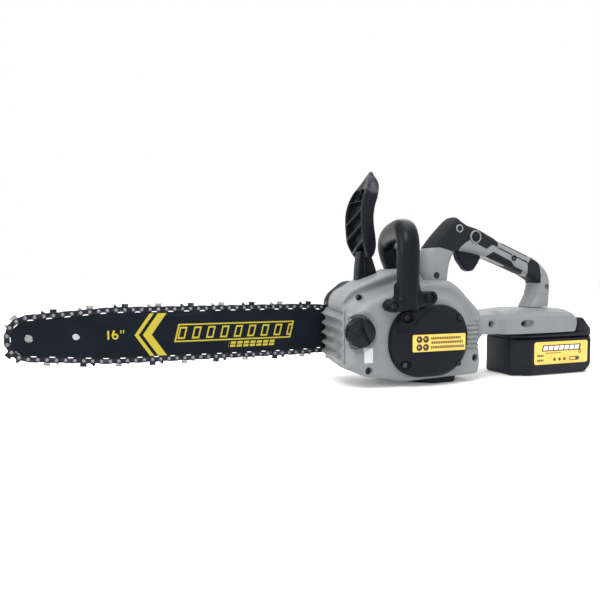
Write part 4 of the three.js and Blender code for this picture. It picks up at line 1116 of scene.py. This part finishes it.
def pack_depth(plan, loop):
    """Half the pack's width: its plan's width less a rounded rim."""
    rim = from_rim(plan, loop)
    half = np.interp(plan[..., 0], *np.array(PACK_HALF).T)
    ends = np.minimum(ease(plan[..., 0], 136, 150), ease(-plan[..., 0], -277, -270))
    return half - roll(rim, 5, 5) * (0.35 + 0.65 * ends)


pack_nylon = moulded(
    "pack_nylon", worn((0.0085, 0.0105, 0.0165), (0.0055, 0.0070, 0.0115), (0.08, 0.08, 0.08), 0.06),
    0.40, 0.03, 0.16,
)
for name, corners, node, rows, cuts in (
    ("pack_case", CASE, "battery_case", 60, [(136, 0), (270, 2), (277, 51.8), (136, 51.8)]),
    ("pack_lid", LID, "battery_lid", 18, [(136, 52.2), (276.6, 52.2), (265, 59), (136, 59)]),
):
    loop = outline(corners)
    plan = fill(loop, cuts, 130, rows, 0.7)
    depth = pack_depth(plan, loop)
    shield(
        name, at_depth(plan, -depth), at_depth(plan, depth), pack_nylon,
        "battery", [node], sharp=35,
    )
SHOULDER = [
    (248.8, 57, 2), (262, 52.4, 1), (276.9, 52.4, 1), (276.9, 63, 4), (262, 79.3, 5), (250, 79.3, 3),
]
slab("pack_shoulder", SHOULDER, rounded(-33, 33, 3), pack_nylon, "battery")
FRONT_X, RIB_X, RIB_WIDTH, RIB_PITCH = 136.05, 137.6, 2.4, 6.5
for i in range(7):
    near = -21 + i * RIB_PITCH
    far = near + RIB_WIDTH
    plan = [(x, y, 0.2) for x, y in ((FRONT_X, near), (RIB_X, near), (RIB_X, far), (FRONT_X, far))]
    slab(
        f"pack_rib_{i + 1}", plan, [(6, 0.4), (7, 0), (47, 0), (48, 0.4)], pack_nylon,
        "battery", flat=True,
    )


def pack_print(place, axes):
    """A slanted block of white boxes, rows of dashes, three discs, a cell and a ring, on yellow."""
    x, _, z = axes
    slant = x - z * 0.25
    bar = band(z, 33.5, 42.5) * band(slant, 171, 241)
    inside = band(z, 35.0, 41.0) * band(slant, 173, 239) * (slant * 0.105).math("FRACT").rise(0.16, 0.20)
    rows = band(x, 171, 183) * (band(z, 26.2, 29.2) + band(z, 19.6, 22.6))
    rows = rows * (x * 0.31).math("FRACT").rise(0.18, 0.26)
    small = band(z, 30.2, 31.6) * band(x, 186, 214) * (x * 0.42).math("FRACT").rise(0.2, 0.3)
    shapes = 0.0
    for centre_x in (203, 212, 221):
        shapes = reach(x, z, (centre_x, 21.6)).rise(2.5, 2.2) + shapes
    cell = band(x, 230, 247) * band(z, 18.8, 24.6) - band(x, 231.2, 241) * band(z, 20, 23.4)
    cell = cell + band(x, 247, 249) * band(z, 20.4, 23)
    dot = reach(x, z, (249.5, 31.5))
    ink = bar - inside
    for mark in (rows, small, shapes, cell, dot.rise(3.0, 2.7) - dot.rise(1.6, 1.3)):
        ink = ink.math("MAXIMUM", mark)
    tone = place.noise(60, 2.0).rise(0.3, 0.7).blend(LABEL_YELLOW, (0.87, 0.54, 0.09))
    return ink.blend(inside.blend(tone, (0.86, 0.84, 0.78)), INK)


pack_film = finish("pack_film", pack_print, scuffed(0.35), gloss=0.4)
slab(
    "pack_label", [(166.5, 15.2, 3.5), (264, 15.2, 3.5), (264, 47.0, 3.5), (166.5, 47.0, 3.5)],
    [(-38.62, 0.15), (-38.55, 0), (-38.2, 0)], pack_film, "battery",
)

# ------------------------------------------------------------------ guide bar
# A laminated steel bar with black paint that wears through at the rails, printed with two chevrons,
# its length in inches and a plain striped block.
def dress(node, material, bevel=0.0, segments=2):
    """A CAD node kept as it is, given a material and, if asked, rounded edges."""
    piece = frame["nodes"][node]
    piece.data.materials.clear()
    piece.data.materials.append(material)
    if bevel:
        weld = piece.modifiers.new("weld", "WELD")
        weld.merge_threshold = 0.00002
        soft = piece.modifiers.new("soft", "BEVEL")
        soft.width = bevel * MM
        soft.segments = segments
        soft.limit_method = "ANGLE"
        soft.angle_limit = np.radians(40)
        soft.harden_normals = False
    return piece


BAR_MIDDLE, BAR_Y = 69.7, 35.5
PRINT_YELLOW = (0.40, 0.33, 0.035)


def bar_print(place, axes):
    """Two chevrons, the length 16", and a plain framed block, printed on worn black paint."""
    x, y, z = axes
    # The two chevrons, then the figures and inch marks.
    climb = abs(z - BAR_MIDDLE) * -0.69 + x
    tall = band(z, 44.2, 95.2)
    mark = (band(climb, -363, -358.2) + band(climb, -353.6, -343.4)) * tall
    flag = band(x - z * 0.9, -459.9, -458) * band(x, -395.6, -393) * band(z, 73, 76)
    one = band(x, -393.2, -391.2) * band(z, 65.7, 76) + flag
    six_ring = reach(x, z, (-384.6, 69.0))
    six = six_ring.rise(3.7, 3.4) * six_ring.rise(1.5, 1.8)
    six = six + band(x - z * 0.28, -408.4, -406.0) * band(z, 69.5, 76.2)
    inches = (band(x, -379.0, -377.8) + band(x, -375.9, -374.7)) * band(z, 72.4, 76.2)
    # The framed row of boxes, and a row of short dashes under it.
    lean = x - z * 0.24
    block = band(lean, -331.5, -183.0) * band(z, 59.5, 81.5)
    hollow = band(lean, -329.6, -184.9) * band(z, 61.2, 79.8)
    pitch = (lean * 0.0575).math("FRACT")
    bars = band(pitch, 0.10, 0.62, 0.01) * band(z, 63.2, 77.8)
    core = band(pitch, 0.20, 0.52, 0.01) * band(z, 65.2, 75.8)
    block = block - hollow + hollow * (bars - core)
    code = band(z, 50.6, 57.6) * band(lean, -263, -203) * (lean * 0.118).math("FRACT").rise(0.20, 0.24)
    code = code - band(z, 53.2, 54.6) * code * 0.7
    # Only the chevrons are printed on the right side as well.
    left_side = y.rise(BAR_Y + 0.2, BAR_Y - 0.2)
    for more in (one, six, inches, block, code):
        mark = mark.math("MAXIMUM", more * left_side)
    flecks = place.noise(1600, 3.0).rise(0.60, 0.68) * 0.35
    paint = place.noise(40, 3.0).rise(0.3, 0.7).blend((0.0026, 0.0050, 0.0088), (0.0040, 0.0070, 0.0118))
    paint = flecks.blend(paint, (0.020, 0.025, 0.032))
    scrape = place.noise(30, 5.0, (0.25, 1, 3)).rise(0.63, 0.70) * 0.4
    paint = scrape.blend(paint, (0.014, 0.018, 0.024))
    return mark.blend(paint, PRINT_YELLOW)


bar_paint = finish("bar_paint", bar_print, brushed(0.55, 0.12), 0.0, relief=pitted, depth=0.04, gloss=0.08)
dress("guide_bar", bar_paint, 0.3)
bright_steel = metal_of("bright_steel", rubbed((0.42, 0.42, 0.43), (0.62, 0.62, 0.62)), 0.32, 1.0, 0.03)
dull_rivet = metal_of("dull_rivet", rubbed((0.20, 0.20, 0.21), (0.34, 0.34, 0.35)), 0.42, 0.9, 0.04)
dress("nose_rivet", dull_rivet, 0.4)
dress("bar_rivet", bright_steel, 0.5)

# ------------------------------------------------------------------ saw chain
# Low-profile chain at 3/8 inch: side straps in pairs joined by drive links, every other pair with a
# cutter on one side, its depth gauge ahead of its top plate. It is blued steel with spun rivets.
RIVET_LOOP = [
    (-497.1, 48.5, 21.5), (-390, 40, 300), (-150, 40, 400), (11.2, 48.6, 21.4), (11.2, 91.4, 21.4),
    (-150, 100, 400), (-390, 100, 300), (-497.1, 91.5, 21.5),
]
PAIRS, FIRST_SHARE, PLATE_BEHIND = 56, 0.0125, 5.2
loop = outline(RIVET_LOOP, steps=24)
closed = np.concatenate([loop, loop[:1]])
length = travelled(closed)[-1]
# A cutter's top plate falls at FIRST_SHARE of the way round.
first_rivet = FIRST_SHARE + (PLATE_BEHIND - length / PAIRS / 4) / length
rivet_share = (first_rivet + np.arange(2 * PAIRS) / (2 * PAIRS)) % 1
rivets = along(closed, rivet_share)
ahead = np.roll(rivets, -1, axis=0) - rivets
ahead /= np.linalg.norm(ahead, axis=1, keepdims=True)
centre = (rivets + np.roll(rivets, -1, axis=0)) / 2


def links(name, profile, near, far, at, material, chamfer=0.12):
    """One link's side profile (along the chain, outward) made into a plate, at each chosen pair.

    A point (s, h) of the profile goes to the pair's middle + s along the chain + h outward. The
    plate runs from near to far of the bar's middle, with chamfered rims.
    """
    profile = np.array(profile, float)
    small = outline(profile, chamfer, 1)
    levels = np.array([near, near + chamfer, far - chamfer, far])
    s, h = np.stack([small, profile, profile, small]).transpose(2, 0, 1)
    out = np.stack([ahead[at, 1], -ahead[at, 0]], 1)
    x = centre[at, 0, None, None] + ahead[at, 0, None, None] * s + out[:, 0, None, None] * h
    z = centre[at, 1, None, None] + ahead[at, 1, None, None] * s + out[:, 1, None, None] * h
    y = np.broadcast_to(BAR_Y + levels[:, None], x.shape)
    count = len(profile)
    quads = weave(4, count, wrap_v=True)
    caps = np.array([np.arange(count), np.arange(3 * count, 4 * count)])
    faces = []
    for first in range(0, len(at) * 4 * count, 4 * count):
        faces += (quads + first).tolist() + (caps + first).tolist()
    return make(name, np.stack([x, y, z], -1), faces, material, "bar", sharp=30)


FOOT = [
    (-7.2, -2.9), (-4.9, -3.6), (-3.5, -3.3), (-2.2, -2.2), (2.2, -2.2), (3.5, -3.3), (4.9, -3.6),
    (7.2, -2.9),
]
STRAP = [(-8.1, -0.6), *FOOT, (8.1, -0.6), (7.3, 2.4), (5.0, 3.3), (-5.0, 3.3), (-7.3, 2.4)]
DRIVE_LINK = [
    (-7.9, -0.4), (-6.8, -2.8), (-4.4, -3.4), (-2.8, -6.6), (-0.6, -7.9), (1.2, -7.4), (4.2, -3.4),
    (6.8, -2.8), (7.9, -0.4), (7.1, 2.2), (4.9, 3.0), (-4.9, 3.0), (-7.1, 2.2),
]
CUTTER = [
    (-8.2, -0.6), *FOOT, (8.2, -0.6), (8.0, 2.6), (7.2, 5.9), (5.9, 6.3), (4.6, 4.6), (2.6, 2.9),
    (-0.6, 3.0), (-1.6, 4.4), (-1.4, 6.9), (-8.6, 6.5), (-8.4, 3.0),
]
TOP_PLATE = [(-8.7, 5.9), (-1.5, 6.2), (-1.0, 7.0), (-8.7, 6.6)]
blued = metal_of("blued_steel", rubbed((0.008, 0.010, 0.016), (0.07, 0.078, 0.09), 260), 0.36, 0.7, 0.02)
silver = metal_of("cutter_steel", rubbed((0.30, 0.30, 0.29), (0.60, 0.60, 0.58), 200), 0.30, 0.9, 0.02)
strap_at = np.arange(0, 2 * PAIRS, 2)
drive_at = strap_at + 1
left_cutters, right_cutters = strap_at[0::4], strap_at[2::4]
links("chain_drive_links", DRIVE_LINK, -0.7, 0.7, drive_at, blued)
links("chain_straps_left", STRAP, -2.5, -1.2, np.setdiff1d(strap_at, left_cutters), blued)
links("chain_straps_right", STRAP, 1.2, 2.5, np.setdiff1d(strap_at, right_cutters), blued)
links("chain_cutters_left", CUTTER, -2.6, -1.2, left_cutters, blued)
links("chain_cutters_right", CUTTER, 1.2, 2.6, right_cutters, silver)
links("chain_plates_left", TOP_PLATE, -3.1, 1.0, left_cutters, blued)
links("chain_plates_right", TOP_PLATE, -1.0, 3.1, right_cutters, silver)


def rivet_heads(name, side):
    """Domed rivet heads on one side: rings of a small profile turned about each rivet's own line."""
    profile = np.array([(1.9, 2.4), (1.9, 2.85), (1.5, 3.05), (1.05, 2.85), (0.0, 2.8)])
    angle = np.linspace(0, 2 * np.pi, 12, endpoint=False)
    x = rivets[:, 0, None, None] + profile[:, :1] * np.cos(angle)
    z = rivets[:, 1, None, None] + profile[:, :1] * np.sin(angle)
    y = np.broadcast_to(BAR_Y + side * profile[:, 1:], x.shape)
    count = len(profile) * len(angle)
    quads = weave(len(profile), len(angle), wrap_v=True)
    faces = np.concatenate([quads + i * count for i in range(len(rivets))])
    return make(name, np.stack([x, y, z], -1), faces, dull_rivet, "bar", sharp=40)


rivet_heads("chain_rivets_left", -1)
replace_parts(rivet_heads("chain_rivets_right", 1), "saw_chain")

# ------------------------------------------------------------------ skid, chain case and drive
# Pieces whose solid shape is already right get their own finishes, with softened edges.
copper = finish("copper_wire", rubbed((0.40, 0.16, 0.07), (0.62, 0.30, 0.16), 200), brushed(0.35), 1.0)
tank_film = moulded(
    "tank_film", worn((0.60, 0.63, 0.64), (0.52, 0.55, 0.56), (0.7, 0.7, 0.68)), 0.35, 0.02, 0.5,
)
board_green = finish("board_green", rubbed((0.010, 0.075, 0.030), (0.02, 0.13, 0.05), 300), scuffed(0.4))
cell_wrap = worn((0.03, 0.10, 0.28), (0.02, 0.075, 0.22), (0.2, 0.25, 0.35))
cell_blue = finish("cell_wrap", cell_wrap, scuffed(0.35))
SLOT_FINISH = {
    "grey_shell": grey_nylon, "black_shell": black_nylon, "grip_rubber": rubber, "cast_grey": cast_zinc,
    "bar_paint": bar_paint, "steel": bright_steel, "dark_steel": dark_metal_and_shade, "tank_plastic": tank_film,
    "copper": copper, "board_green": board_green, "cell_blue": cell_blue,
}
SOFTENED = {"base_skid": 0.8, "sprocket_cover": 1.2, "battery_latch": 0.8}
SOFTENED.update({f"bar_nut_{i}": 0.4 for i in (1, 2)})
SOFTENED.update({f"bar_stud_{i}": 0.3 for i in (1, 2)})
COVER_SCREW_NODES = [f"cover_screw_{i}" for i in (1, 2, 3, 4)]
SOFTENED.update({node: 0.2 for node in COVER_SCREW_NODES})
slot_of = {part["node"]: part["material_slot"] for part in frame["record"]["subparts"]}
# The cover's screws get the near-black steel in place of their slot's finish: painted shade that darkens
# their recesses.
for node in frame["nodes"]:
    if node not in ("guide_bar", "nose_rivet", "bar_rivet"):
        material = dark_metal_and_shade if node in COVER_SCREW_NODES else SLOT_FINISH[slot_of[node]]
        dress(node, material, SOFTENED.get(node, 0.0))

size = {"cad": [list(c) for c in cad_box], "visual": [list(c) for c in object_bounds()]}
